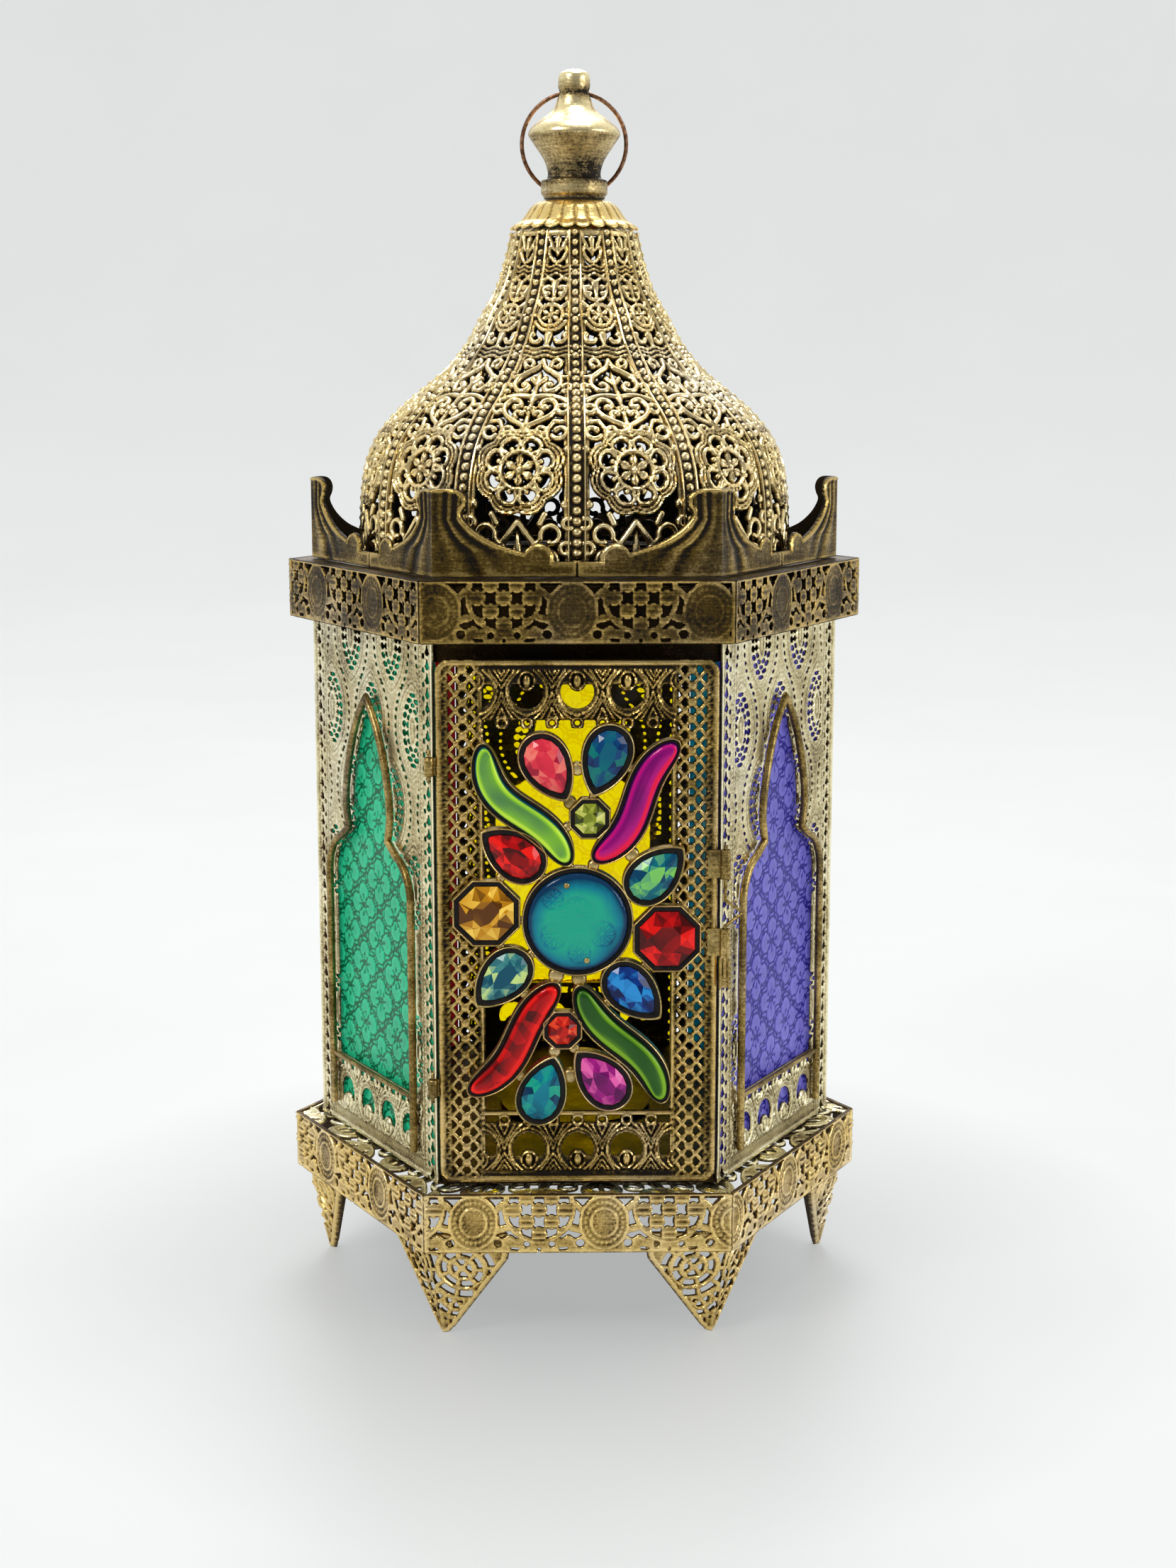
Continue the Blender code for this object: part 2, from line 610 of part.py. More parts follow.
def make_stones():
    """Every stone, and the setting that holds them."""
    finishes = {n: s[-1] for n, s in (STONES | S_STONES).items()}
    outlines = all_outlines(BEZEL_WALL + STONE_GAP)
    tables = all_outlines(BEZEL_WALL + STONE_GAP + CROWN_INSET)
    stones = [make_stone(n, outline, tables[n], finishes[n]) for n, outline in outlines.items()]
    return stones + [make_setting()]


# --- door and latch ----------------------------------------------------------------------------

def rounded_rectangle(half, low, high, radius, steps=4):
    corners = [((half - radius, high - radius), 0), ((radius - half, high - radius), 90),
               ((radius - half, low + radius), 180), ((half - radius, low + radius), 270)]
    return [p for centre, start in corners for p in arc(centre, radius, start, start + 90, steps)]


def make_door_panel():
    """The door's sheet with its window, and two knuckles rolled round the hinge pins."""
    edge = rounded_rectangle(DOOR_HALF, *DOOR_Z, DOOR_CORNER_R)
    low, high = DOOR_WINDOW_Z
    window = [(DOOR_WINDOW_HALF, low), (DOOR_WINDOW_HALF, high), (-DOOR_WINDOW_HALF, high),
              (-DOOR_WINDOW_HALF, low)]
    panel = flat_sheet("door_panel", [edge, window], "brass_dark", DOOR_FACE_Y, SHEET)
    x, y = HINGE_XY
    bm = bmesh.new()
    pins = bmesh.new()
    for z in KNUCKLE_Z:
        middle = z + KNUCKLE_LENGTH / 2
        cylinder(bm, (x, y, middle), KNUCKLE_R, KNUCKLE_LENGTH, 12)
        low = (x + KNUCKLE_R - 0.4, y + PIN_R + 0.2, z + 0.2)
        high = (-DOOR_HALF + TAB_LAP, DOOR_FACE_Y + KNUCKLE_TAB, z + KNUCKLE_LENGTH - 0.2)
        box(bm, low, high)
        cylinder(pins, (x, y, middle), PIN_R + PIN_CLEARANCE, KNUCKLE_LENGTH + 4, 12)
    boolean(panel, make_cutter(add_object("knuckles", mesh_from(bm, "knuckles"))), "UNION", True)
    boolean(panel, make_cutter(add_object("pin_holes", mesh_from(pins, "pin_holes"))), "DIFFERENCE")
    return panel


def make_hinge_staple(name, z):
    """A wire staple on the body whose upright is the hinge pin."""
    x, y = HINGE_XY
    low, high = z - STAPLE_REACH, z + KNUCKLE_LENGTH + STAPLE_REACH
    wall = (x + STAPLE_LEG[0], y + STAPLE_LEG[1])
    turn = (x, y + STAPLE_BEND)
    points = [(*wall, low), (*turn, low), (x, y, low + STAPLE_BEND),
              (x, y, high - STAPLE_BEND), (*turn, high), (*wall, high)]
    return wire(name, points, PIN_R, "brass_gold")


def make_clasp(name, low, high):
    """A tab on the door, rolled round the bolt."""
    bm = bmesh.new()
    cylinder(bm, (BOLT_X, BOLT_Y, (low + high) / 2), CLASP_R, high - low, 14)
    clasp = add_object(name, mesh_from(bm, name), "brass_gold")
    bm = bmesh.new()
    back = DOOR_FACE_Y - SEAM
    width, thick = CLASP_TAB
    box(bm, (BOLT_X - width, back - thick, low + 0.2), (BOLT_X - SEAM, back, high - 0.2))
    boolean(clasp, make_cutter(add_object(name + "_tab", mesh_from(bm, "tab"))), "UNION")
    bm = bmesh.new()
    cylinder(bm, (BOLT_X, BOLT_Y, (low + high) / 2), CLASP_HOLE_R, high - low + 4, 12)
    boolean(clasp, make_cutter(add_object(name + "_bore", mesh_from(bm, "bore"))), "DIFFERENCE")
    return clasp


def make_bolt():
    """A wire with a thumb bend; its origin is on the line that it slides along."""
    heights = [BOLT_TOP_Z] + [z for _, z in BOLT_BEND] + [BOLT_END_Z]
    shifts = [0] + [dx for dx, _ in BOLT_BEND] + [0]
    points = [(dx, 0, z - BOLT_END_Z) for dx, z in zip(shifts, heights)]
    return place(wire("latch_bolt", points, BOLT_R, "brass_bright"), (BOLT_X, BOLT_Y, BOLT_END_Z))


def make_keeper():
    """A channel on the body, open towards the front, that the bolt's end stands in."""
    low, high = KEEPER_Z
    bm = bmesh.new()
    front, back = BOLT_Y + KEEPER_DEPTH[0], BOLT_Y + KEEPER_DEPTH[1]
    box(bm, (BOLT_X - KEEPER_HALF, front, low), (BOLT_X + KEEPER_HALF, back, high))
    keeper = add_object("latch_keeper", mesh_from(bm, "latch_keeper"), "brass_gold")
    bm = bmesh.new()
    box(bm, (BOLT_X - 0.1, back - SEAM, low + 1), (BOLT_X + KEEPER_TAB[0], BOLT_Y + KEEPER_TAB[1], high - 1))
    boolean(keeper, make_cutter(add_object("keeper_tab", mesh_from(bm, "keeper_tab"))), "UNION")
    bm = bmesh.new()
    half, depth = KEEPER_SLOT
    box(bm, (BOLT_X - half, front - 1, low - 1), (BOLT_X + half, BOLT_Y + depth, high + 1))
    boolean(keeper, make_cutter(add_object("keeper_slot", mesh_from(bm, "keeper_slot"))), "DIFFERENCE")
    return keeper


def pivot_empty(name, location):
    empty = bpy.data.objects.new(name, None)
    parts.objects.link(empty)
    return place(empty, location)


def parent_to(empty, pieces):
    """Parents pieces to an empty without moving them."""
    bpy.context.view_layer.update()
    for piece in pieces:
        piece.parent = empty
        piece.matrix_parent_inverse = empty.matrix_world.inverted()


# --- assembly ----------------------------------------------------------------------------------

def build():
    make_materials()
    make_base_tray()
    make_bands()
    make_roof_deck()
    bm = bmesh.new()
    box(bm, (-150, -150, -30), (150, 150, 0))
    floor = make_cutter(add_object("floor_trim", mesh_from(bm, "floor_trim")))
    for i, name in enumerate(CORNER_NAMES):
        make_foot(i, name, floor)
        make_leaf(i, name)
    for i, name in enumerate(FACE_NAMES):
        make_side_panel(i, name)
        make_moulding(i, name)
        make_pane(i, name)
    make_dome()
    turned("petal_cap", CAP_PROFILE, 20, "brass_gold")
    make_finial()
    make_hanging_ring()
    for name, z in zip(["hinge_staple_lower", "hinge_staple_upper"], KNUCKLE_Z):
        make_hinge_staple(name, z)
    make_keeper()
    door = [make_door_panel(), *make_stones()]
    door += [make_clasp(n, *z) for n, z in zip(["clasp_upper", "clasp_lower"], CLASP_Z)]
    parent_to(pivot_empty("door_hinge_axis", (*HINGE_XY, DOOR_Z[0])), door + [make_bolt()])


clear_scene()
parts = new_collection("candle_lantern")
cutters = new_collection("cutters")
build()
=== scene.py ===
import copy
import math

import bmesh
import bpy
import numpy as np
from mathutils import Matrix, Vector


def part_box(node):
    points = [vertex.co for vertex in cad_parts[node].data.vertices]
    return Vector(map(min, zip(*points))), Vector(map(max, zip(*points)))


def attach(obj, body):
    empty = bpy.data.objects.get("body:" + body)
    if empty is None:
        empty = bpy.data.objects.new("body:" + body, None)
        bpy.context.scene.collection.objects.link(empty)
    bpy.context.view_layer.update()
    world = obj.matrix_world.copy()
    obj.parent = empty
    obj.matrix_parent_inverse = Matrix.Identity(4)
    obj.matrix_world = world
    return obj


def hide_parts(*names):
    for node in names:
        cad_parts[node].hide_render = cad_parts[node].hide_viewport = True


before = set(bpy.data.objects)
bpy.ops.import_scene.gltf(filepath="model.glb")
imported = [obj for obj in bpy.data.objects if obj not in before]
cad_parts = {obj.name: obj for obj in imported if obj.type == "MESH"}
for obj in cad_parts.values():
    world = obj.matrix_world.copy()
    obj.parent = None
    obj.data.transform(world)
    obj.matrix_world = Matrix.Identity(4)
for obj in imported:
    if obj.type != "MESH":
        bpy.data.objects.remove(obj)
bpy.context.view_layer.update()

# Looks of the candle lantern. Lengths are in millimetres in the CAD model's frame, and become metres
# when a mesh is made. The pierced brass is drawn on a grid, as a distance into the metal and a height
# of relief, and its contour is traced into a closed sheet.

MM = 0.001
SIDES = 6
COS30 = math.cos(math.radians(30))
FAR = 99.0
STEP = 0.42                     # grid step of the pierced sheets
PANEL_STEP, PANE_STEP, DOOR_STEP, RIB_STEP, STONE_STEP = 0.46, 0.58, 0.4, 0.34, 0.36
RIM_KEEP = 0.08                 # how near a grid point the contour may pass, as a share of a step
SMOOTH_ANGLE = math.radians(52)
# Wear is FLAT_WEAR on a flat place, and more by WEAR_PER_MM where it stands above its surroundings
# within WEAR_REACH, in which a hole counts as HOLE_LEVEL high.
HOLE_LEVEL, FLAT_WEAR, WEAR_REACH, WEAR_PER_MM = -0.35, 0.42, 1.6, 1.5
SEAM = 0.05                     # how far a sheet ends short of its neighbour
# How far each sheet reaches back from the plane that its relief stands on.
THICK = {"gore": 0.6, "rib": 0.8, "band": 0.6, "ledge": 0.5, "panel": 0.3, "pane": 1.3, "foot": 0.6,
         "leaf": 0.4, "door": 0.5, "centre": 2.5}
GLASS_PAINTED_GLOW = 0.2                # painted glow: emission standing in for light that cloudy glass gathers from behind and gives out again
GEM_PAINTED_GLOW = 0.06                 # painted glow: emission standing in for light thrown back by the foil behind each stone
NOISE_ROUGHNESS = 0.62
EVEN_WEAR = 0.6                 # wear of a brass piece whose mesh holds none

CORNER_NAMES = ["right", "back_right", "back_left", "left", "front_left", "front_right"]
FACE_NAMES = ["right_front", "right_back", "back", "left_back", "left_front"]
PANE_SLOTS = ["glass_violet", "glass_turquoise", "glass_yellow", "glass_red", "glass_green"]


def span(node):
    """The lowest and highest corner of a CAD node, in millimetres."""
    low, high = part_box(node)
    return np.array(low) / MM, np.array(high) / MM


# --- distances: positive inside, in millimetres --------------------------------------------------

def rounded(x):
    """A quarter circle's height: 0 at the edge, 1 from x = 1 on."""
    return np.sqrt(1 - (1 - np.clip(x, 0, 1)) ** 2)


def disc(x, y, cx, cy, radius):
    return radius - np.hypot(x - cx, y - cy)


def ring(x, y, cx, cy, radius, width):
    return width / 2 - np.abs(np.hypot(x - cx, y - cy) - radius)


def oval(x, y, cx, cy, half_x, half_y):
    return (1 - np.hypot((x - cx) / half_x, (y - cy) / half_y)) * min(half_x, half_y)


def stroke(x, y, points, radius):
    """A line of round strokes, whose radius is one value or one for each point."""
    radii = np.broadcast_to(radius, len(points))
    best = np.full(np.shape(x), -FAR)
    for i in range(len(points) - 1):
        (ax, ay), (bx, by) = points[i], points[i + 1]
        dx, dy = bx - ax, by - ay
        t = np.clip(((x - ax) * dx + (y - ay) * dy) / (dx * dx + dy * dy), 0, 1)
        here = radii[i] + (radii[i + 1] - radii[i]) * t - np.hypot(x - ax - dx * t, y - ay - dy * t)
        best = np.maximum(best, here)
    return best


def polygon(x, y, points):
    """A closed outline."""
    near = np.full(np.shape(x), FAR)
    crossed = np.zeros(np.shape(x), bool)
    for (ax, ay), (bx, by) in zip(points, np.roll(points, -1, axis=0)):
        dx, dy = bx - ax, by - ay
        t = np.clip(((x - ax) * dx + (y - ay) * dy) / (dx * dx + dy * dy + 1e-12), 0, 1)
        near = np.minimum(near, np.hypot(x - ax - dx * t, y - ay - dy * t))
        if ay != by:
            crossed ^= ((ay > y) != (by > y)) & (x < ax + dx * (y - ay) / dy)
    return np.where(crossed, near, -near)


def arc(cx, cy, radius, start, end, steps=10, grow=0.0):
    """Points on an arc, or on a spiral when the radius grows; angles in degrees."""
    t = np.linspace(0, 1, steps + 1)
    angle = np.radians(start + (end - start) * t)
    r = radius + grow * t
    return list(zip(cx + r * np.cos(angle), cy + r * np.sin(angle)))


def repeat(x, pitch, phase=0.0):
    """The distance from the nearest of a row of evenly spaced places."""
    return (x - phase + pitch / 2) % pitch - pitch / 2


def spokes(x, y, cx, cy, count, turn=0.0):
    """Distances along and across the nearest of evenly spaced spokes."""
    pitch = 2 * math.pi / count
    angle = repeat(np.arctan2(y - cy, x - cx) - math.radians(turn), pitch)
    r = np.hypot(x - cx, y - cy)
    return r * np.cos(angle), r * np.sin(angle)


def spline(points, steps):
    """A smooth line through points, by Catmull and Rom's formula."""
    p = np.array(points, float)
    p = np.vstack([2 * p[0] - p[1], p, 2 * p[-1] - p[-2]])
    found = []
    for a, b, c, d in zip(p, p[1:], p[2:], p[3:]):
        for t in np.arange(steps) / steps:
            found.append(0.5 * (2 * b + (c - a) * t + (2 * a - 5 * b + 4 * c - d) * t * t
                                + (3 * b - a - 3 * c + d) * t ** 3))
    return np.vstack([found, p[-2]])


# --- pierced sheets ------------------------------------------------------------------------------

class Sheet:
    """A sheet on a grid: metal is the distance into the metal, top the height of its front."""

    def __init__(self, low, high, step=STEP):
        columns = 2 * round((high[0] - low[0]) / step / 2) + 1
        rows = round((high[1] - low[1]) / step) + 1
        across, up = np.linspace(low[0], high[0], columns), np.linspace(low[1], high[1], rows)
        self.step = step
        self.u, self.v = np.meshgrid(across, up)
        self.clear()

    def clear(self):
        self.metal = np.full(self.u.shape, -FAR)
        self.top = np.zeros(self.u.shape)
        self.patina = 0.0       # taken off the wear, where a hollow holds dark patina

    def add(self, inside, height, edge=0.6):
        """Metal that rises to a height over the width of its edge."""
        self.metal = np.maximum(self.metal, inside)
        self.emboss(inside, height, edge)

    def emboss(self, inside, height, edge=0.6):
        self.top = np.maximum(self.top, height * rounded(inside / edge))

    def engrave(self, inside, depth, edge=0.4):
        self.top = self.top - depth * rounded(inside / edge)

    def pierce(self, inside, edge=0.4):
        """A hole whose rim is rounded over the width of its edge."""
        self.metal = np.minimum(self.metal, -inside)
        self.top = self.top * rounded(-inside / edge)

    def trim(self, inside):
        self.metal = np.minimum(self.metal, inside)

    def paste(self, other, region):
        """Another sheet on the same grid takes a region's place."""
        self.metal = np.where(region, other.metal, self.metal)
        self.top = np.where(region, other.top, self.top)

    def blank(self):
        """An empty sheet on the same grid."""
        other = copy.copy(self)
        other.clear()
        return other

    def wear_and_painted_light(self):
        """How proud each point stands of what is round it: 0 in hollows, 1 on ridges."""
        height = np.where(self.metal > 0, self.top, HOLE_LEVEL)
        around = height
        for _ in range(max(2, round(WEAR_REACH / self.step))):
            for axis in (0, 1):
                around = (around + np.roll(around, 1, axis) + np.roll(around, -1, axis)) / 3
        return np.clip(FLAT_WEAR + (height - around) * WEAR_PER_MM - self.patina, 0, 1)

    def trace(self):
        """Corner points (u, v, top, wear), blocks of polygons and rim edges, by marching squares."""
        inside = self.metal > 0
        layers = np.stack([self.u, self.v, self.top, self.wear_and_painted_light()], axis=-1)
        number = np.full(inside.shape, -1)
        number[inside] = np.arange(inside.sum())
        points = [layers[inside]]
        total = len(points[0])
        crossing = []
        for first, second in ((np.s_[:, :-1], np.s_[:, 1:]), (np.s_[:-1, :], np.s_[1:, :])):
            cross = inside[first] != inside[second]
            m0, m1 = self.metal[first][cross], self.metal[second][cross]
            t = np.clip(m0 / (m0 - m1), RIM_KEEP, 1 - RIM_KEEP)[:, None]
            ids = np.full(cross.shape, -1)
            ids[cross] = total + np.arange(cross.sum())
            points.append(layers[first][cross] * (1 - t) + layers[second][cross] * t)
            total += len(t)
            crossing.append(ids)
        across, up = crossing
        corners = [np.s_[:-1, :-1], np.s_[:-1, 1:], np.s_[1:, 1:], np.s_[1:, :-1]]
        on_edges = [across[:-1], up[:, 1:], across[1:], up[:, :-1]]
        case = sum(inside[c].astype(int) << k for k, c in enumerate(corners))
        polygons, rims = [], []
        for pattern in range(1, 16):
            here = case == pattern
            loop, on_rim = [], []
            for k in range(4):
                if pattern >> k & 1:
                    loop.append(number[corners[k]][here])
                    on_rim.append(False)
                if (pattern >> k & 1) != (pattern >> (k + 1) % 4 & 1):
                    loop.append(on_edges[k][here])
                    on_rim.append(True)
            polygons.append(np.stack(loop, axis=1))
            for i in range(len(loop)):
                j = (i + 1) % len(loop)
                if on_rim[i] and on_rim[j]:
                    rims.append(np.stack([loop[i], loop[j]], axis=1))
        return np.concatenate(points), [p for p in polygons if len(p)], np.concatenate(rims)


# --- meshes and pieces ---------------------------------------------------------------------------

def new_mesh(name, points, faces, wear_and_painted_light=None, smooth=True):
    """A mesh from points in millimetres and blocks of faces with equal numbers of corners."""
    mesh = bpy.data.meshes.new(name)
    mesh.vertices.add(len(points))
    mesh.vertices.foreach_set("co", (np.asarray(points) * MM).astype(np.float32).ravel())
    corners = np.concatenate([f.ravel() for f in faces]).astype(np.int32)
    sizes = np.concatenate([np.full(len(f), f.shape[1]) for f in faces])
    mesh.loops.add(len(corners))
    mesh.loops.foreach_set("vertex_index", corners)
    mesh.polygons.add(len(sizes))
    mesh.polygons.foreach_set("loop_start", (np.cumsum(sizes) - sizes).astype(np.int32))
    mesh.update(calc_edges=True)
    if wear_and_painted_light is not None:
        layer = mesh.attributes.new("wear_and_painted_light", "FLOAT", "POINT")
        layer.data.foreach_set("value", np.asarray(wear_and_painted_light, np.float32))
    if smooth:
        mesh.shade_smooth()
        mesh.set_sharp_from_angle(angle=SMOOTH_ANGLE)
    return mesh


def sheet_mesh(name, traced, thick, place):
    """A traced sheet as a closed mesh, put in its place by place(u, v, height)."""
    points, polygons, rims = traced
    u, v, top, wear_and_painted_light = points.T
    count = len(points)
    front, back = place(u, v, top), place(u, v, np.full(count, -float(thick)))
    walls = np.column_stack([rims[:, 1], rims[:, 0], rims[:, 0] + count, rims[:, 1] + count])
    faces = polygons + [p[:, ::-1] + count for p in polygons] + [walls]
    return new_mesh(name, np.vstack([front, back]), faces, np.concatenate([wear_and_painted_light, np.zeros(count)]))


def volume(points, quads):
    """Signed volume of quads, to tell which way they face."""
    a, b, c, d = (points[quads[:, k]] for k in range(4))
    return (np.einsum("ij,ij->", a, np.cross(b, c)) + np.einsum("ij,ij->", a, np.cross(c, d))) / 6


def ring_faces(rings, count, wrap):
    """Quads between successive rings of count points, and back to the first ring if they wrap."""
    i = np.arange(rings if wrap else rings - 1)[:, None]
    j = np.arange(count)[None, :]
    here, after = i * count, (i + 1) % rings * count
    beside = (j + 1) % count
    return np.stack([here + j, here + beside, after + beside, after + j], axis=-1).reshape(-1, 4)


def hoop(radius, z, angle):
    """A ring of points about Z; its radius and height are one value or one for each point."""
    return np.column_stack([radius * np.cos(angle), radius * np.sin(angle), np.full(len(angle), z)])


def at_depth(outline, y):
    """An outline of (x, z) as points on the upright plane at y."""
    return np.column_stack([outline[:, 0], np.full(len(outline), y), outline[:, 1]])


def loft(rings, wrap=False):
    """Points and faces of a closed skin over rings of points; without wrap its ends are capped."""
    rings = np.asarray(rings, float)
    points = rings.reshape(-1, 3)
    count = rings.shape[1]
    quads = ring_faces(len(rings), count, wrap)
    faces = [quads]
    if not wrap:
        first = np.arange(count)
        faces.append(first[::-1][None, :])
        faces.append((first + len(points) - count)[None, :])
    if volume(points, quads) < 0:
        faces = [f[:, ::-1] for f in faces]
    return points, faces


def joined(parts):
    """Several (points, faces) as one."""
    points, faces, start = [], [], 0
    for some_points, some_faces in parts:
        points.append(some_points)
        faces += [f + start for f in some_faces]
        start += len(some_points)
    return np.vstack(points), faces


def linked(name, data):
    """An object in the scene for a mesh, camera or light."""
    obj = bpy.data.objects.new(name, data)
    bpy.context.scene.collection.objects.link(obj)
    return obj


def piece(mesh, material, body, nodes):
    """Puts a mesh in the scene as a piece that rides on a body and stands for CAD nodes."""
    obj = linked(mesh.name, mesh)
    mesh.materials.append(material)
    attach(obj, body)
    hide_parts(*nodes)
    return obj


# --- places --------------------------------------------------------------------------------------

def turned_by(x, y, z, degrees):
    """Points as rows, turned about Z."""
    c, s = math.cos(math.radians(degrees)), math.sin(math.radians(degrees))
    return np.column_stack([x * c - y * s, x * s + y * c, z])


def on_side(k, apothem):
    """Side k of a hexagon, counted anticlockwise from the front: u across, v up, height outwards."""
    def place(u, v, height):
        y = -(apothem + height)
        return turned_by(u * (apothem + height) / apothem, y, v, 60 * k)
    return place


def lying_on(k, apothem, level):
    """A horizontal ledge on side k: u across, v the distance inwards from the edge, height up."""
    def place(u, v, height):
        return turned_by(u * (apothem - v) / apothem, v - apothem, level + height, 60 * k)
    return place


def facing_front(x, y, z):
    """A sheet that faces -Y: u across, v up, height forwards."""
    def place(u, v, height):
        return np.column_stack([x + u, y - height, z + v])
    return place


def on_corner(k, radius, lean):
    """A sheet folded at corner k, counted anticlockwise from +X: u from the fold, v up."""
    def place(u, v, height):
        x = radius + lean * v + height / COS30 - np.abs(u) / 2
        return turned_by(x, u * COS30, v, 60 * k)
    return place


# --- brass, glass and gems -----------------------------------------------------------------------

class Look:
    """The nodes of a material or world, with short ways to add and link them."""

    def __init__(self, owner, shader="Principled BSDF"):
        owner.use_nodes = True
        self.owner = owner
        self.nodes, self.links = owner.node_tree.nodes, owner.node_tree.links
        self.shader = self.nodes[shader]

    def feed(self, node, inputs):
        """Gives each named input a constant, or links it to another node's output."""
        for name, value in inputs.items():
            if isinstance(value, bpy.types.NodeSocket):
                self.links.new(value, node.inputs[name])
            else:
                node.inputs[name].default_value = value
        return node

    def node(self, kind, inputs, **values):
        node = self.nodes.new(kind)
        for key, value in values.items():
            setattr(node, key, value)
        return self.feed(node, inputs)

    def coords(self, kind="Object"):
        return self.nodes.new("ShaderNodeTexCoord").outputs[kind]

    def wear_and_painted_light(self):
        """The value that each point or face of the mesh holds: wear on brass and glass, painted light and
        shade on the stones.
        """
        return self.node("ShaderNodeAttribute", {}, attribute_name="wear_and_painted_light").outputs["Fac"]

    def noise(self, coords, scale, detail=3.0, stretch=None):
        """Noise of a scale in features per metre; stretch makes it finer along an axis."""
        if stretch:
            mapping = self.node("ShaderNodeMapping", {"Vector": coords, "Scale": stretch})
            coords = mapping.outputs["Vector"]
        inputs = {"Vector": coords, "Scale": scale, "Detail": detail, "Roughness": NOISE_ROUGHNESS}
        return self.node("ShaderNodeTexNoise", inputs).outputs["Fac"]

    def math(self, operation, a, b):
        return self.node("ShaderNodeMath", {0: a, 1: b}, operation=operation).outputs[0]

    def swing(self, source, share):
        """How far a noise is from its middle, times a share."""
        return self.math("MULTIPLY", self.math("SUBTRACT", source, 0.5), share)

    def ramp(self, factor, stops):
        node = self.node("ShaderNodeValToRGB", {"Fac": factor})
        elements = node.color_ramp.elements
        while len(elements) < len(stops):
            elements.new(0.5)
        for element, (position, color) in zip(elements, stops):
            element.position = position
            element.color = (*color, 1)
        return node.outputs["Color"]

    def spread(self, value, low, high, from_low=0.0, from_high=1.0):
        """A value between from_low and from_high, carried over to the range from low to high."""
        return self.node("ShaderNodeMapRange", {
            "Value": value, "From Min": from_low, "From Max": from_high, "To Min": low, "To Max": high,
        }).outputs["Result"]

    def bump(self, height, depth):
        node = self.node("ShaderNodeBump", {"Height": height, "Distance": depth * MM, "Strength": 1.0})
        self.feed(self.shader, {"Normal": node.outputs["Normal"]})


def brass(name, gold, body, patina, bias, worn=True):
    """Antique brass: dark patina in hollows and clouds, rubbed bright on ridges, greyer in blotches."""
    look = Look(bpy.data.materials.new(name))
    coords = look.coords()
    fine = look.noise(coords, 1400, 4)
    cloud = look.noise(coords, 70, 4)
    brushed = look.noise(coords, 160, 3, (1, 1, 14))
    mask = look.swing(fine, 0.8)
    wear_and_painted_light = look.wear_and_painted_light() if worn else EVEN_WEAR
    for part in (look.swing(cloud, 1.1), look.swing(brushed, 0.5), wear_and_painted_light, bias):
        mask = look.math("ADD", mask, part)
    tarnish = look.noise(coords, 22, 3)
    greyer = look.node("ShaderNodeHueSaturation", {
        "Saturation": look.spread(tarnish, 1.02, 0.72, 0.50, 0.72),
        "Value": look.spread(tarnish, 1.0, 1.08, 0.50, 0.72),
        "Color": look.ramp(mask, [(0.14, patina), (0.45, body), (0.85, gold)]),
    })
    look.feed(look.shader, {
        "Base Color": greyer.outputs["Color"],
        "Roughness": look.spread(mask, 0.55, 0.24, 0.1, 0.8),
        "Metallic": look.spread(mask, 0.6, 1.0, 0.05, 0.35),
        "Specular IOR Level": 0.2,
    })
    look.bump(look.math("ADD", fine, brushed), 0.06)
    return look.owner


def copper_wire():
    look = Look(bpy.data.materials.new("copper_wire"))
    grain = look.noise(look.coords(), 900, 4)
    look.feed(look.shader, {
        "Base Color": look.ramp(grain, [(0.35, (0.09, 0.045, 0.025)), (0.6, (0.36, 0.19, 0.11))]),
        "Roughness": look.spread(grain, 0.5, 0.3),
        "Metallic": 1.0,
    })
    look.bump(grain, 0.05)
    return look.owner


def pressed_glass(name, deep, light, clear=0.6, rough=0.5, painted_glow=GLASS_PAINTED_GLOW):
    """Coloured pressed glass, cloudy, with a painted glow: emission that stands in for light from behind
    it; its grooves are deeper.
    """
    look = Look(bpy.data.materials.new(name))
    coords = look.coords()
    cloud = look.noise(coords, 28, 3)
    ripple = look.noise(coords, 420, 2)
    tone = look.math("ADD", look.wear_and_painted_light(), look.math("MULTIPLY", cloud, 0.5))
    color = look.ramp(tone, [(0.35, deep), (0.85, light)])
    look.feed(look.shader, {
        "Base Color": color, "Emission Color": color, "Emission Strength": painted_glow,
        "Roughness": look.spread(ripple, rough * 0.7, rough * 1.3),
        "Transmission Weight": clear, "IOR": 1.3,
        "Coat Weight": 0.25, "Coat Roughness": 0.1,
    })
    look.bump(ripple, 0.05)
    return look.owner


def gem(name, stops, cut):
    """A foiled glass stone: painted light and shade for each facet or from rim to middle, painted glints in
    small cells, a drift of tone across it, and a painted glow.
    """
    look = Look(bpy.data.materials.new(name))
    coords = look.coords()
    drift = look.noise(coords, 70, 1)
    # Painted glints: small cells of lighter and darker tone stand in for reflections inside the stone.
    painted_glints = look.node("ShaderNodeTexVoronoi", {"Vector": coords, "Scale": 260}, feature="F1")
    split = look.node("ShaderNodeSeparateColor", {"Color": painted_glints.outputs["Color"]})
    tone = look.wear_and_painted_light()
    for source, share in ((drift, 0.7), (split.outputs["Red"], cut)):
        tone = look.math("ADD", tone, look.swing(source, share))
    color = look.ramp(tone, stops)
    look.feed(look.shader, {
        "Base Color": color, "Emission Color": color, "Emission Strength": GEM_PAINTED_GLOW,
        "Roughness": look.spread(drift, 0.03, 0.1), "Specular IOR Level": 0.2,
        "Coat Weight": 0.1, "Coat Roughness": 0.03,
    })
    look.bump(drift, 0.1)
    return look.owner


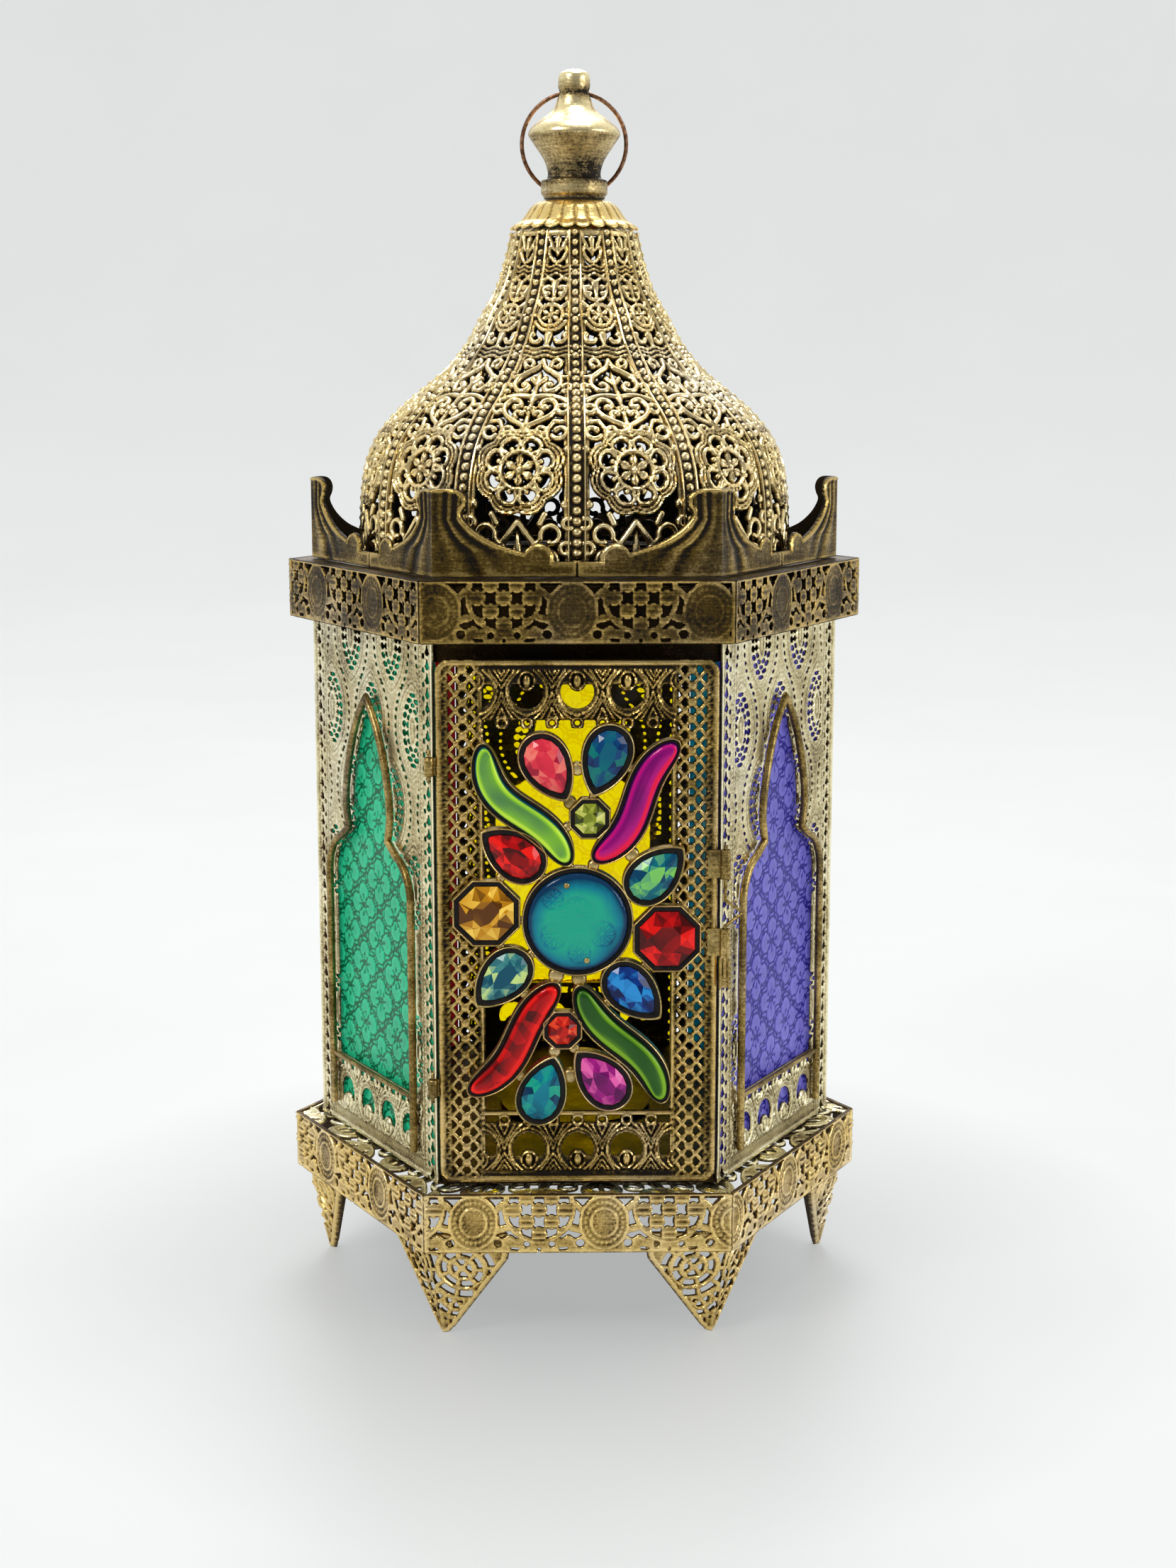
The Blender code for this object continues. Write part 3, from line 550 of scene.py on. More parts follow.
def bezel_shade():
    """The near-black bed between a bezel and its stone: painted shade for the shadow at the bezel's edge
    and the stone's dark rim.
    """
    look = Look(bpy.data.materials.new("bezel_shade_bed"))
    grain = look.noise(look.coords(), 500, 3)
    look.feed(look.shader, {
        "Base Color": look.ramp(grain, [(0.3, (0.004, 0.004, 0.006)), (0.75, (0.02, 0.015, 0.012))]),
        "Roughness": look.spread(grain, 0.15, 0.4),
        "Specular IOR Level": 0.12,
    })
    look.bump(grain, 0.1)
    return look.owner


GOLD, PALE_GOLD = (0.95, 0.70, 0.28), (0.98, 0.82, 0.46)
BRONZE, BROWN, BLACK = (0.26, 0.17, 0.06), (0.06, 0.035, 0.014), (0.014, 0.010, 0.007)
# Each brass's colour on its ridges, on its body and in its hollows, how far it leans to the bright
# side, and False where its meshes hold no wear of their own. In part these copies are painted light:
# the darker brass_door on the front-facing door and brass_dark on the upper band are painted shade,
# the paler brass_panel on the side panels and the ledge is painted light, the lighter brass_gold on
# the base band is painted light from the table, and brass_inner_shade is near-black painted shade.
BRASS_COLORS = {
    "brass_dark": ((0.62, 0.42, 0.13), (0.12, 0.076, 0.02), BLACK, -0.08),
    "brass_leaf": ((0.60, 0.42, 0.14), (0.14, 0.09, 0.023), BLACK, -0.06),
    "brass_door": ((0.70, 0.49, 0.18), (0.19, 0.125, 0.032), BLACK, -0.10),
    "brass_gold": (GOLD, (0.50, 0.34, 0.11), BROWN, 0.04),
    "brass_dome": ((0.97, 0.76, 0.38), (0.39, 0.27, 0.10), BLACK, -0.01),
    "brass_panel": ((0.98, 0.90, 0.60), (0.53, 0.44, 0.23), BROWN, 0.04),
    "brass_bezel": ((0.80, 0.60, 0.26), (0.40, 0.29, 0.11), BROWN, -0.04, False),
    "brass_frame": ((0.72, 0.52, 0.20), (0.20, 0.135, 0.04), BLACK, -0.08, False),
    "brass_finial": (PALE_GOLD, (0.42, 0.31, 0.14), BLACK, 0.0),
    "brass_inner_shade": (BRONZE, BROWN, BLACK, -0.25, False),
}
BRASSES = {name: brass(name, *values) for name, values in BRASS_COLORS.items()}
COPPER = copper_wire()
BEZEL_SHADE = bezel_shade()
# Each glass's colour in its grooves and on its face; the clear one also says how clear and rough it
# is, and that it has no painted glow.
GLASS_COLORS = {
    "glass_green": ((0.0, 0.14, 0.055), (0.03, 0.80, 0.42)),
    "glass_violet": ((0.03, 0.022, 0.28), (0.30, 0.27, 0.88)),
    "glass_yellow": ((0.80, 0.58, 0.0), (1.0, 0.90, 0.01), 1.0, 0.12, 0.0),
    "glass_red": ((0.20, 0.0, 0.01), (0.85, 0.04, 0.04)),
    "glass_turquoise": ((0.0, 0.12, 0.18), (0.04, 0.70, 0.75)),
}
GLASSES = {name: pressed_glass(name, *values) for name, values in GLASS_COLORS.items()}
# Each stone's colours from its dark parts to its light ones, and how strongly its painted glints show.
GEM_COLORS = {
    "gem_teal": ([(0.0, 0.03, 0.09), (0.0, 0.19, 0.27), (0.01, 0.36, 0.24)], 0.1),
    "gem_amber": ([(0.10, 0.03, 0.0), (0.60, 0.26, 0.005), (1.0, 0.66, 0.10)], 0.6),
    "gem_red": ([(0.06, 0.0, 0.0), (0.42, 0.0, 0.002), (0.90, 0.01, 0.006)], 0.35),
    "gem_chartreuse": ([(0.04, 0.05, 0.005), (0.26, 0.32, 0.02), (0.70, 0.72, 0.18)], 0.6),
    "gem_orange": ([(0.15, 0.0, 0.0), (0.65, 0.01, 0.004), (0.95, 0.12, 0.04)], 0.4),
    "gem_pink": ([(0.35, 0.005, 0.03), (0.75, 0.03, 0.06), (0.90, 0.20, 0.16)], 0.2),
    "gem_sky": ([(0.0, 0.01, 0.08), (0.0, 0.055, 0.18), (0.0, 0.17, 0.16)], 0.15),
    "gem_sea": ([(0.0, 0.05, 0.12), (0.0, 0.18, 0.22), (0.22, 0.62, 0.10)], 0.35),
    "gem_aqua": ([(0.0, 0.07, 0.12), (0.06, 0.26, 0.26), (0.60, 0.78, 0.25)], 0.4),
    "gem_blue": ([(0.0, 0.008, 0.07), (0.0, 0.035, 0.24), (0.02, 0.26, 0.65)], 0.3),
    "gem_magenta": ([(0.10, 0.0, 0.08), (0.36, 0.008, 0.22), (0.80, 0.12, 0.42)], 0.3),
    "gem_lime": ([(0.0, 0.06, 0.09), (0.20, 0.48, 0.03), (0.55, 0.85, 0.05)], 0.0),
    "gem_crimson": ([(0.05, 0.0, 0.08), (0.40, 0.0, 0.20), (0.85, 0.0, 0.05)], 0.0),
    "gem_green": ([(0.0, 0.02, 0.002), (0.02, 0.10, 0.008), (0.20, 0.42, 0.015)], 0.0),
}
GEM_STOPS = (0.12, 0.5, 0.88)
GEMS = {name: gem(name, list(zip(GEM_STOPS, colors)), cut) for name, (colors, cut) in GEM_COLORS.items()}


# --- dome ----------------------------------------------------------------------------------------

DOME_PROFILE = [
    (60.7, 206.5), (60.7, 215.9), (60.2, 225.3), (58.8, 233.3), (55.5, 240.8), (49.9, 247.5),
    (43.3, 253.1), (36.0, 259.2), (30.2, 266.3), (26.1, 273.7), (22.0, 281.0), (19.4, 288.8),
    (17.6, 296.4),
]                               # radius, height, from the deck up
GORES = 12
BEAD_PITCH = 2.8
ROSETTE_Y = 27.4                # up the profile from the deck
RIB_LIFT, GORE_LIFT = -0.9, -1.2
DOME_LINE = spline(DOME_PROFILE, 12)
DOME_S = np.concatenate([[0], np.cumsum(np.hypot(*np.diff(DOME_LINE, axis=0).T))])
DOME_LENGTH = DOME_S[-1]
DOME_SLOPE = np.gradient(DOME_LINE, DOME_S, axis=0)


def dome_radius(s):
    return np.interp(s, DOME_S, DOME_LINE[:, 0])


def rib_half(s):
    """Half width of a rib, which narrows towards the top."""
    return np.interp(dome_radius(s), (17, 45), (1.95, 2.65))


def on_dome(degrees, lift=0.0):
    """A place on the dome: u round it from an angle, v along its profile, height outwards."""
    def place(u, v, height):
        r, z = dome_radius(v), np.interp(v, DOME_S, DOME_LINE[:, 1])
        slope_r, slope_z = (np.interp(v, DOME_S, DOME_SLOPE[:, k]) for k in (0, 1))
        angle = math.radians(degrees) + u / r
        out = r + (height + lift) * slope_z
        return np.column_stack([out * np.cos(angle), out * np.sin(angle), z - (height + lift) * slope_r])
    return place


def wavy_bars(sheet, levels, wave, pitch):
    """Thin bars across a gore, waving together."""
    y = sheet.v - wave * np.cos(2 * math.pi * sheet.u / pitch)
    sheet.add(np.minimum(y - levels[0] + 0.5, levels[-1] + 0.5 - y), 0.3, 0.3)
    for level in levels:
        sheet.add(0.4 - np.abs(y - level), 0.95, 0.4)


def draw_rosette(sheet, level):
    """The large rosette: a scalloped frame, eight petals with rolled rims, and a flower in a ring."""
    u, v = sheet.u, sheet.v
    r = np.hypot(u, v - level)
    angle = np.arctan2(v - level, u)
    frame_r = 11.2 + 1.3 * np.abs(np.sin(4 * (angle - math.pi / 2)))
    sheet.add(np.minimum(frame_r - r, r - 5.0), 0.35, 0.5)
    for k in range(3):
        sheet.emboss(0.5 - np.abs(frame_r - 0.5 - k * 1.1 - r), 1.15 - 0.1 * k, 0.5)
    along, across = spokes(u, v, 0, level, 8, 22.5)
    opening = np.maximum(oval(along, across, 7.5, 0, 1.35, 1.95), oval(along, across, 6.4, 0, 0.9, 1.2))
    sheet.pierce(opening, 0.3)
    sheet.emboss(0.55 - np.abs(opening + 0.55), 1.2, 0.55)
    sheet.add(disc(along, across, 6.2, 0, 0.8), 1.25, 0.8)
    along, across = spokes(u, v, 0, level, 8)
    sheet.pierce(disc(along, across, 8.9, 0, 0.42), 0.25)
    sheet.pierce(disc(u, v, 0, level, 5.0), 0.1)
    sheet.add(ring(u, v, 0, level, 5.1, 1.3), 1.5, 0.65)
    along, across = spokes(u, v, 0, level, 6, 30)
    petals = stroke(along, across, [(0.8, 0), (2.9, 0), (4.4, 0)], [0.5, 1.25, 0.5])
    sheet.add(petals, 0.95, 0.8)
    sheet.engrave(np.minimum(0.25 - np.abs(across), petals - 0.3), 0.35, 0.25)
    sheet.add(disc(u, v, 0, level, 1.5), 0.7, 0.5)
    sheet.emboss(disc(u, v, 0, level, 0.9), 1.5, 0.9)


def draw_strokes(sheet, x, *rows):
    """Raised lines, as rows of (height, edge, radius, points)."""
    for height, edge, radius, points in rows:
        sheet.add(stroke(x, sheet.v, points, radius), height, edge)


def draw_knobs(sheet, x, *rows):
    """Round knobs, as rows of (height, edge, radius, x, y)."""
    for height, edge, radius, cx, cy in rows:
        sheet.add(disc(x, sheet.v, cx, cy, radius), height, edge)


def draw_curls(sheet, x, *curls):
    """Curls of (centre, radius, start, end, inward growth), each with a ball at its inner end."""
    for cx, cy, radius, start, end, grow in curls:
        line = arc(cx, cy, radius, start, end, 14, grow)
        sheet.add(stroke(x, sheet.v, line, 0.72), 1.1, 0.72)
        sheet.add(disc(x, sheet.v, *line[-1], 0.95), 1.2, 0.95)


def draw_hearts(sheet, x):
    """Two hearts of scrollwork, the lower one point down and the upper one point up."""
    lower = spline([(0, 38.6), (1.2, 41.0), (3.8, 42.6), (6.3, 44.8), (7.1, 47.8), (5.6, 50.4),
                    (3.4, 50.0), (2.7, 48.2), (3.9, 47.0)], 4)
    upper = spline([(0, 65.8), (1.0, 63.4), (3.2, 61.8), (5.6, 59.6), (6.3, 56.8), (5.1, 54.4),
                    (3.1, 54.2), (2.2, 55.8), (3.2, 57.2)], 4)
    bar = spline([(0, 51.6), (2.6, 52.3), (5.8, 52.0), (9.4, 50.4)], 4)
    draw_strokes(
        sheet, x, (1.15, 0.78, 0.78, lower), (1.15, 0.78, 0.78, upper), (1.0, 0.7, 0.75, bar),
        (0.9, 0.6, [0.55, 0.8], [(0, 44.4), (0, 40.8)]),
        (1.0, 0.8, [0.5, 1.1, 0.5], [(0, 48.2), (0, 52.0), (0, 54.4)]),
        (1.0, 0.8, [0.5, 0.9, 0.2], [(0, 54.6), (0, 59.4), (0, 61.8)]),
        (1.0, 0.8, [0.4, 0.85], [(0.4, 57.0), (1.7, 59.2)]),
    )
    draw_knobs(
        sheet, x, (1.25, 1.0, 1.0, 4.2, 47.6), (1.25, 0.95, 0.95, 3.7, 56.7), (1.5, 0.8, 0.8, 0, 46.4),
    )
    along, across = spokes(sheet.u, sheet.v, 0, 46.4, 6, 90)
    sheet.add(disc(along, across, 1.35, 0, 0.78), 1.05, 0.78)
    draw_curls(
        sheet, x, (8.9, 46.6, 1.9, 150, -150, -0.8), (8.1, 55.6, 1.6, -110, 150, -0.6),
        (4.0, 64.6, 1.5, 220, -60, -0.5), (2.6, 44.8, 1.2, -60, 160, -0.4),
        (7.2, 60.6, 1.2, -160, 40, -0.4),
    )


def draw_shoulder(sheet, x):
    """The curls that fill the corners between the rosette's frame and the hearts."""
    draw_curls(sheet, x, (9.6, 38.6, 2.2, -150, 140, -0.8), (4.4, 39.0, 1.5, -60, 200, -0.5))
    draw_strokes(
        sheet, x, (1.0, 0.6, 0.68, [(6.6, 36.4), (6.2, 39.6), (7.4, 42.4), (9.9, 42.2)]),
        (1.0, 0.6, 0.7, [(2.6, 37.2), (1.6, 38.8), (0, 39.4)]),
    )
    draw_knobs(sheet, x, (1.0, 1.0, 1.2, 12.3, 33.4), (1.0, 1.0, 1.2, 12.5, 18.4))


def draw_skirt(sheet, x):
    """The foot of a gore: a diamond between loops, on a plain rail."""
    sheet.add(1.8 - sheet.v, 0.5, 0.6)
    draw_strokes(
        sheet, x, (1.05, 0.8, 0.85, [(0, 13.8), (4.6, 7.9), (0, 1.6)]),
        (1.0, 0.8, [0.35, 1.25], [(0, 11.2), (0, 5.4)]),
        (0.9, 0.6, 0.85, [(6.0, 13.4), (7.2, 15.8)]), (0.9, 0.6, 0.7, [(5.4, 8.6), (6.4, 9.6)]),
    )
    draw_knobs(sheet, x, (1.1, 0.9, 1.2, 4.6, 7.9))
    draw_curls(
        sheet, x, (9.0, 10.4, 2.8, 200, -100, -0.8), (8.6, 3.9, 2.4, 150, -120, -0.7),
        (13.0, 6.8, 1.8, 60, 280, -0.5), (13.6, 13.6, 1.6, -60, -280, -0.4),
    )


def draw_neck(sheet, x):
    """The upper gore: a fan, a small wheel rosette, a dart between drops, and scrolls at the top."""
    wavy_bars(sheet, (67.2, 68.6, 70.0), 0.4, 6.0)
    draw_curls(sheet, x, (3.6, 73.2, 1.6, 200, 400, -0.3), (2.2, 87.6, 1.1, -120, 120, -0.3))
    level = 79.8
    sheet.add(ring(sheet.u, sheet.v, 0, level, 3.3, 1.2), 1.4, 0.6)
    along, across = spokes(sheet.u, sheet.v, 0, level, 6, 30)
    sheet.add(stroke(along, across, [(0.6, 0), (1.9, 0), (2.9, 0)], [0.4, 0.85, 0.4]), 0.95, 0.6)
    draw_knobs(sheet, x, (1.5, 0.8, 0.8, 0, level))
    leaf = spline([(0, 84.6), (1.9, 85.2), (3.2, 87.0), (3.8, 89.6)], 3)
    scroll = spline([(0, 95.2), (1.5, 96.2), (2.6, 98.4), (1.9, 99.8), (0.9, 98.8)], 3)
    draw_strokes(
        sheet, x, (1.0, 0.8, [0.5, 1.3], [(0, 70.6), (0, 73.8)]),
        (1.0, 0.6, 0.6, arc(0, level, 4.6, 270, 335, 8)),
        (0.9, 0.6, 0.65, [(3.4, level), (5.6, level)]),
        (0.9, 0.6, 0.65, [(2.8, level + 2.6), (4.4, level + 4.2)]),
        (1.0, 0.8, [0.4, 0.6, 1.3], [(0, 83.6), (0, 86.0), (0, 89.2)]),
        (0.9, 0.6, 0.55, leaf), (0.9, 0.6, 0.6, [(0, 89.8), (2.0, 91.0), (4.6, 90.2)]),
        (0.95, 0.6, 0.55, scroll), (0.95, 0.7, [0.4, 1.0], [(0, 97.2), (0, 101.6)]),
        (0.9, 0.6, 0.6, [(1.5, 99.8), (2.6, 101.8), (3.4, 103.6)]),
    )
    wavy_bars(sheet, (91.9, 93.1, 94.3), 0.3, 4.0)
    sheet.add(sheet.v - DOME_LENGTH + 1.4, 0.6, 0.5)


def gore_sheet():
    half = DOME_LINE[0][0] * math.pi / GORES
    sheet = Sheet((-half, 0), (half, DOME_LENGTH))
    x = np.abs(sheet.u)
    half_gore = dome_radius(sheet.v) * math.pi / GORES
    for draw in (draw_skirt, draw_shoulder, draw_hearts, draw_neck):
        draw(sheet, x)
    draw_rosette(sheet, ROSETTE_Y)
    sheet.add(x - (half_gore - rib_half(sheet.v) - 0.7), 0.35, 0.5)
    sheet.trim(half_gore - 0.4 - x)
    sheet.trim(np.minimum(sheet.v - 0.1, DOME_LENGTH - 0.1 - sheet.v))
    return sheet


def rib_sheet():
    """A strip with a ridge along each edge and a row of beads in the channel between them."""
    sheet = Sheet((-3.0, 0), (3.0, DOME_LENGTH), RIB_STEP)
    u, v = sheet.u, sheet.v
    half = rib_half(v)
    sheet.add(half - np.abs(u), 0.3, 0.3)
    sheet.emboss(0.42 - np.abs(np.abs(u) - half + 0.5), 0.95, 0.42)
    bead = half * 0.5
    sheet.emboss(bead - np.hypot(u, repeat(v, BEAD_PITCH)), 1.3, bead)
    sheet.trim(np.minimum(v - 0.1, DOME_LENGTH - 0.1 - v))
    return sheet


def make_dome():
    gore, rib = gore_sheet().trace(), rib_sheet().trace()
    for k in range(GORES):
        degrees = -90 + 360 / GORES * k
        mesh = sheet_mesh(f"dome_rib_{k:02d}", rib, THICK["rib"], on_dome(degrees, RIB_LIFT))
        piece(mesh, BRASSES["brass_dome"], "lantern", ["dome"])
        place = on_dome(degrees + 180 / GORES, GORE_LIFT)
        mesh = sheet_mesh(f"dome_gore_{k:02d}", gore, THICK["gore"], place)
        piece(mesh, BRASSES["brass_dome"], "lantern", ["dome"])


# --- bands ---------------------------------------------------------------------------------------

BAND_RELIEF = 0.9               # the relief's height, kept inside the CAD band's face
OVAL_PITCH = 34.8
BRICK = 6.7                     # pitch of the rows of slots in a medallion
OVAL_HALF = (6.7, 7.7)
# Each band's brass, and where its first oval is across the front side.
BANDS = {"base_band": ("brass_gold", -27.8), "top_band": ("brass_dark", -36.1)}
TOP_BAND_CUT = 3.8              # how far above the CAD band's foot the upper band starts
TOP_BAND_FLOOR, TOP_BAND_SHARE = 0.35, 0.36     # the upper band's relief is flatter than drawn
LEDGE_WIDTH, LEDGE_DROP = 13.3, 0.9
# The collar's apothems, how far it laps over the door's top, and the inset of its flange's edge.
COLLAR_OUTSIDE, COLLAR_INSIDE, COLLAR_LAP, FLANGE_EDGE = 63.4, 62.6, 1.2, 1.8
DECK_HOLE_R = 52.0


def draw_band(sheet, run, low, high):
    """A band's pattern, run along it: beaded ovals between round medallions, over a pierced rail."""
    x, v = np.abs(repeat(run, OVAL_PITCH)), sheet.v
    middle = high - 7.8
    centre = high - 4.0
    oval_x = OVAL_PITCH / 2
    half_x, half_y = OVAL_HALF
    sheet.add(low + 4.4 - v + 0.5 * np.cos(x * 1.6), 0.4, 0.4)
    for across, up, radius in ((11.0, 2.6, 1.15), (3.4, 2.3, 0.85), (0, 0.9, 0.5)):
        sheet.pierce(disc(x, v, across, low + up, radius), 0.3)
    sheet.pierce(stroke(x, v, [(5.6, low + 1.0), (7.4, low + 1.2)], 0.4), 0.3)
    sheet.add(disc(x, v, 0, centre, 9.8), 0.4, 0.5)
    for row in range(4):
        level = centre + 2.9 - row * 3.4
        shift = row % 2 * BRICK / 2
        bar = np.abs(repeat(x, BRICK, shift + BRICK / 2))
        line = np.minimum(2.3 - bar, 9.3 - np.hypot(x, v - centre))
        for side in (-0.72, 0.72):
            sheet.emboss(np.minimum(0.5 - np.abs(v - level - side), line), 0.85, 0.5)
        hole_x = np.abs(repeat(x, BRICK, shift))
        hole = np.minimum(1.2 - hole_x, 1.3 - np.abs(v - level))
        hole = np.maximum(hole, disc(hole_x, np.abs(v - level), 1.0, 1.15, 0.5))
        sheet.pierce(np.minimum(hole, 8.6 - np.hypot(x, v - centre)), 0.25)
    sheet.add(ring(x, v, 0, centre, 9.4, 0.9), 0.6, 0.5)
    draw_strokes(sheet, x, (0.5, 0.5, 0.9, [(9.6, centre + 1.4), (11.4, centre - 0.4)]),
                 (0.5, 0.5, 1.0, [(8.6, centre - 5.4), (11.6, centre - 6.2)]))
    sheet.add(oval(x, v, oval_x, middle, half_x, half_y), 0.4, 0.6)
    place = np.hypot((x - oval_x) / half_x, (v - middle) / half_y)
    angle = np.arctan2((v - middle) / half_y, (x - oval_x) / half_x)
    for share, height in ((0.95, 0.8), (0.52, 0.85)):
        sheet.emboss(0.5 - np.abs(place - share) * 7, height, 0.5)
    for share, count, reach, radius, height, edge in (
        (0.74, 26, 5.2, 0.62, 0.75, 0.6), (0.40, 16, 2.9, 0.42, 0.62, 0.42),
    ):
        bead = np.hypot((place - share) * 7, np.abs(repeat(angle, 2 * math.pi / count)) * reach)
        sheet.emboss(radius - bead, height, edge)
    sheet.add(v - high + 0.7, 0.6, 0.4)


def make_band(node):
    """A band's six sides; the pattern runs on from side to side from its first oval on the front."""
    slot, first_oval = BANDS[node]
    low_corner, high_corner = span(node)
    apothem, low, high = -low_corner[1], low_corner[2], high_corner[2]
    if node == "top_band":
        low, high = low + TOP_BAND_CUT, span("roof_deck")[1][2]
    side = 2 * (apothem - BAND_RELIEF) * math.tan(math.pi / SIDES)
    for k in range(SIDES):
        sheet = Sheet((-side / 2, low), (side / 2, high))
        draw_band(sheet, sheet.u + k * side - first_oval + OVAL_PITCH / 2, low, high)
        sheet.add(np.abs(sheet.u) - side / 2 + 0.9, 0.5, 0.4)
        sheet.trim(np.minimum(side / 2 - np.abs(sheet.u), high - sheet.v) - SEAM)
        sheet.trim(sheet.v - low - SEAM)
        if node == "top_band":
            sheet.top = TOP_BAND_FLOOR + TOP_BAND_SHARE * sheet.top
        place = on_side(k, apothem - BAND_RELIEF)
        mesh = sheet_mesh(f"{node}_side_{k}", sheet.trace(), THICK["band"], place)
        piece(mesh, BRASSES[slot], "lantern", [node])


def draw_ledge(sheet, run):
    """The base band's top flange, where the same strip folds in: half medallions and loops."""
    x, v = np.abs(repeat(run, OVAL_PITCH)), sheet.v
    sheet.add(1.0 - v, 0.4, 0.4)
    sheet.add(disc(x, v, 0, -4.0, 9.8), 0.35, 0.5)
    sheet.emboss(ring(x, v, 0, -4.0, 9.2, 1.1), 0.7, 0.5)
    sheet.pierce(disc(x, v, 3.3, 1.9, 1.2), 0.3)
    draw_strokes(sheet, x, (0.6, 0.6, [1.2, 2.2], [(0, 5), (0, 13)]))
    loop = oval(x, v, OVAL_PITCH / 2, 6.0, 6.2, 5.4)
    sheet.add(loop, 0.45, 0.6)
    sheet.emboss(0.5 - np.abs(loop - 1.6), 0.8, 0.5)
    sheet.pierce(oval(x, v, OVAL_PITCH / 2, 6.0, 3.0, 2.4), 0.3)
    sheet.add(ring(x, v, 7.4, 8.0, 2.6, 1.3), 0.7, 0.6)
    draw_strokes(sheet, x, (0.6, 0.6, 0.8, [(OVAL_PITCH / 2, 1), (OVAL_PITCH / 2, 12)]))
    sheet.add(v - 10.4, 0.4, 0.4)
    sheet.pierce(disc(repeat(x, 5.8, 2.9), v, 0, 11.6, 0.8), 0.3)


def make_ledges():
    """The base band's flange on the six sides, in step with the band's ovals."""
    low_corner, high_corner = span("base_band")
    apothem = -low_corner[1] - BAND_RELIEF
    side = 2 * apothem * math.tan(math.pi / SIDES)
    for k in range(SIDES):
        sheet = Sheet((-side / 2, 0), (side / 2, LEDGE_WIDTH + 0.1))
        draw_ledge(sheet, sheet.u + k * side - BANDS["base_band"][1] + OVAL_PITCH / 2)
        sheet.add(np.abs(sheet.u) - side / 2 + 0.8, 0.4, 0.4)
        sheet.trim(side / 2 - SEAM - np.abs(sheet.u))
        sheet.trim(np.minimum(sheet.v, LEDGE_WIDTH - sheet.v))
        place = lying_on(k, apothem, high_corner[2] - LEDGE_DROP)
        mesh = sheet_mesh(f"base_ledge_{k}", sheet.trace(), THICK["ledge"], place)
        piece(mesh, BRASSES["brass_panel"], "lantern", ["base_band"])


def make_bands():
    make_band("base_band")
    make_ledges()
    make_band("top_band")


def make_collar():
    """The upper band's flange and the collar that drops inside the panels, as a plain turned-in strip; its
    near-black brass is painted shade for the shadowed gap above the door.
    """
    low_corner, high_corner = span("top_band")
    edge, low = -low_corner[1] - FLANGE_EDGE, DOOR_Z[1] - COLLAR_LAP
    under, over = high_corner[2] - 0.7, high_corner[2] - 0.1
    section = [(edge, under), (COLLAR_OUTSIDE, under), (COLLAR_OUTSIDE, low), (COLLAR_INSIDE, low),
               (COLLAR_INSIDE, over), (edge, over)]
    corners = np.radians(np.arange(SIDES) * 60)
    points, faces = loft([hoop(a / COS30, z, corners) for a, z in section], wrap=True)
    mesh = new_mesh("top_band_collar", points, faces, smooth=False)
    piece(mesh, BRASSES["brass_inner_shade"], "lantern", ["top_band"])


def make_deck():
    """The roof plate, set just inside the upper band, with its round hole under the dome; its near-black
    brass is painted shade, a shadow line between the leaves and the band.
    """
    low, high = span("roof_deck")
    angle = np.linspace(0, 2 * math.pi, 96, endpoint=False)
    edge = (high[1] - BAND_RELIEF - 0.7) / np.cos(repeat(angle, math.pi / 3, math.pi / 6))
    bottom, top = low[2], high[2] - 0.1
    section = ((edge, bottom), (edge, top), (DECK_HOLE_R, top), (DECK_HOLE_R, bottom))
    points, faces = loft([hoop(r, z, angle) for r, z in section], wrap=True)
    mesh = new_mesh("roof_plate", points, faces)
    piece(mesh, BRASSES["brass_inner_shade"], "lantern", ["roof_deck"])


# --- side panels, windows and panes --------------------------------------------------------------

SILL_Z, LEG_Z, WINDOW_HALF, LOBE_Z = 64.0, 49.0, 24.6, 118.0
WAIST = (11.3, 132.8)
UPPER_LOBE = [(11.3, 132.8), (12.8, 140.0), (11.6, 148.0), (8.5, 157.0), (4.5, 164.5), (0, 170.0)]
MOULDING_R, SILL_R = 1.05, 0.7
BAY = 13.1                      # width of one arch of the arcades
ARCADE_Z = 46.0
PANEL_HALF, PANEL_RELIEF, PANEL_INSET = 37.0, 0.7, 0.5
STRIP_X = 28.4                  # where the panel's border starts
MEDALLION_X, MEDALLION_Y = 25.0, 44.0       # pitches of the panel's net
LOBE_X, LOBE_Y = 20.0, 17.0     # pitches of the glass's net


def keyhole_side(grow=0.0):
    """The window's outline from the sill to the apex on the right, moved out by grow."""
    shoulder = arc(WAIST[0] + 1, LOBE_Z, WINDOW_HALF - WAIST[0] - 1, 0, 72, 12)
    upper = [tuple(p) for p in spline(UPPER_LOBE, 6)]
    side = [(WINDOW_HALF, SILL_Z)] + shoulder + upper[:-1]
    return [(x + grow, z) for x, z in side] + [(0.0, UPPER_LOBE[-1][1] + grow)]


def keyhole(grow=0.0):
    right = keyhole_side(grow)
    return np.array(right + [(-x, z) for x, z in reversed(right[:-1])])


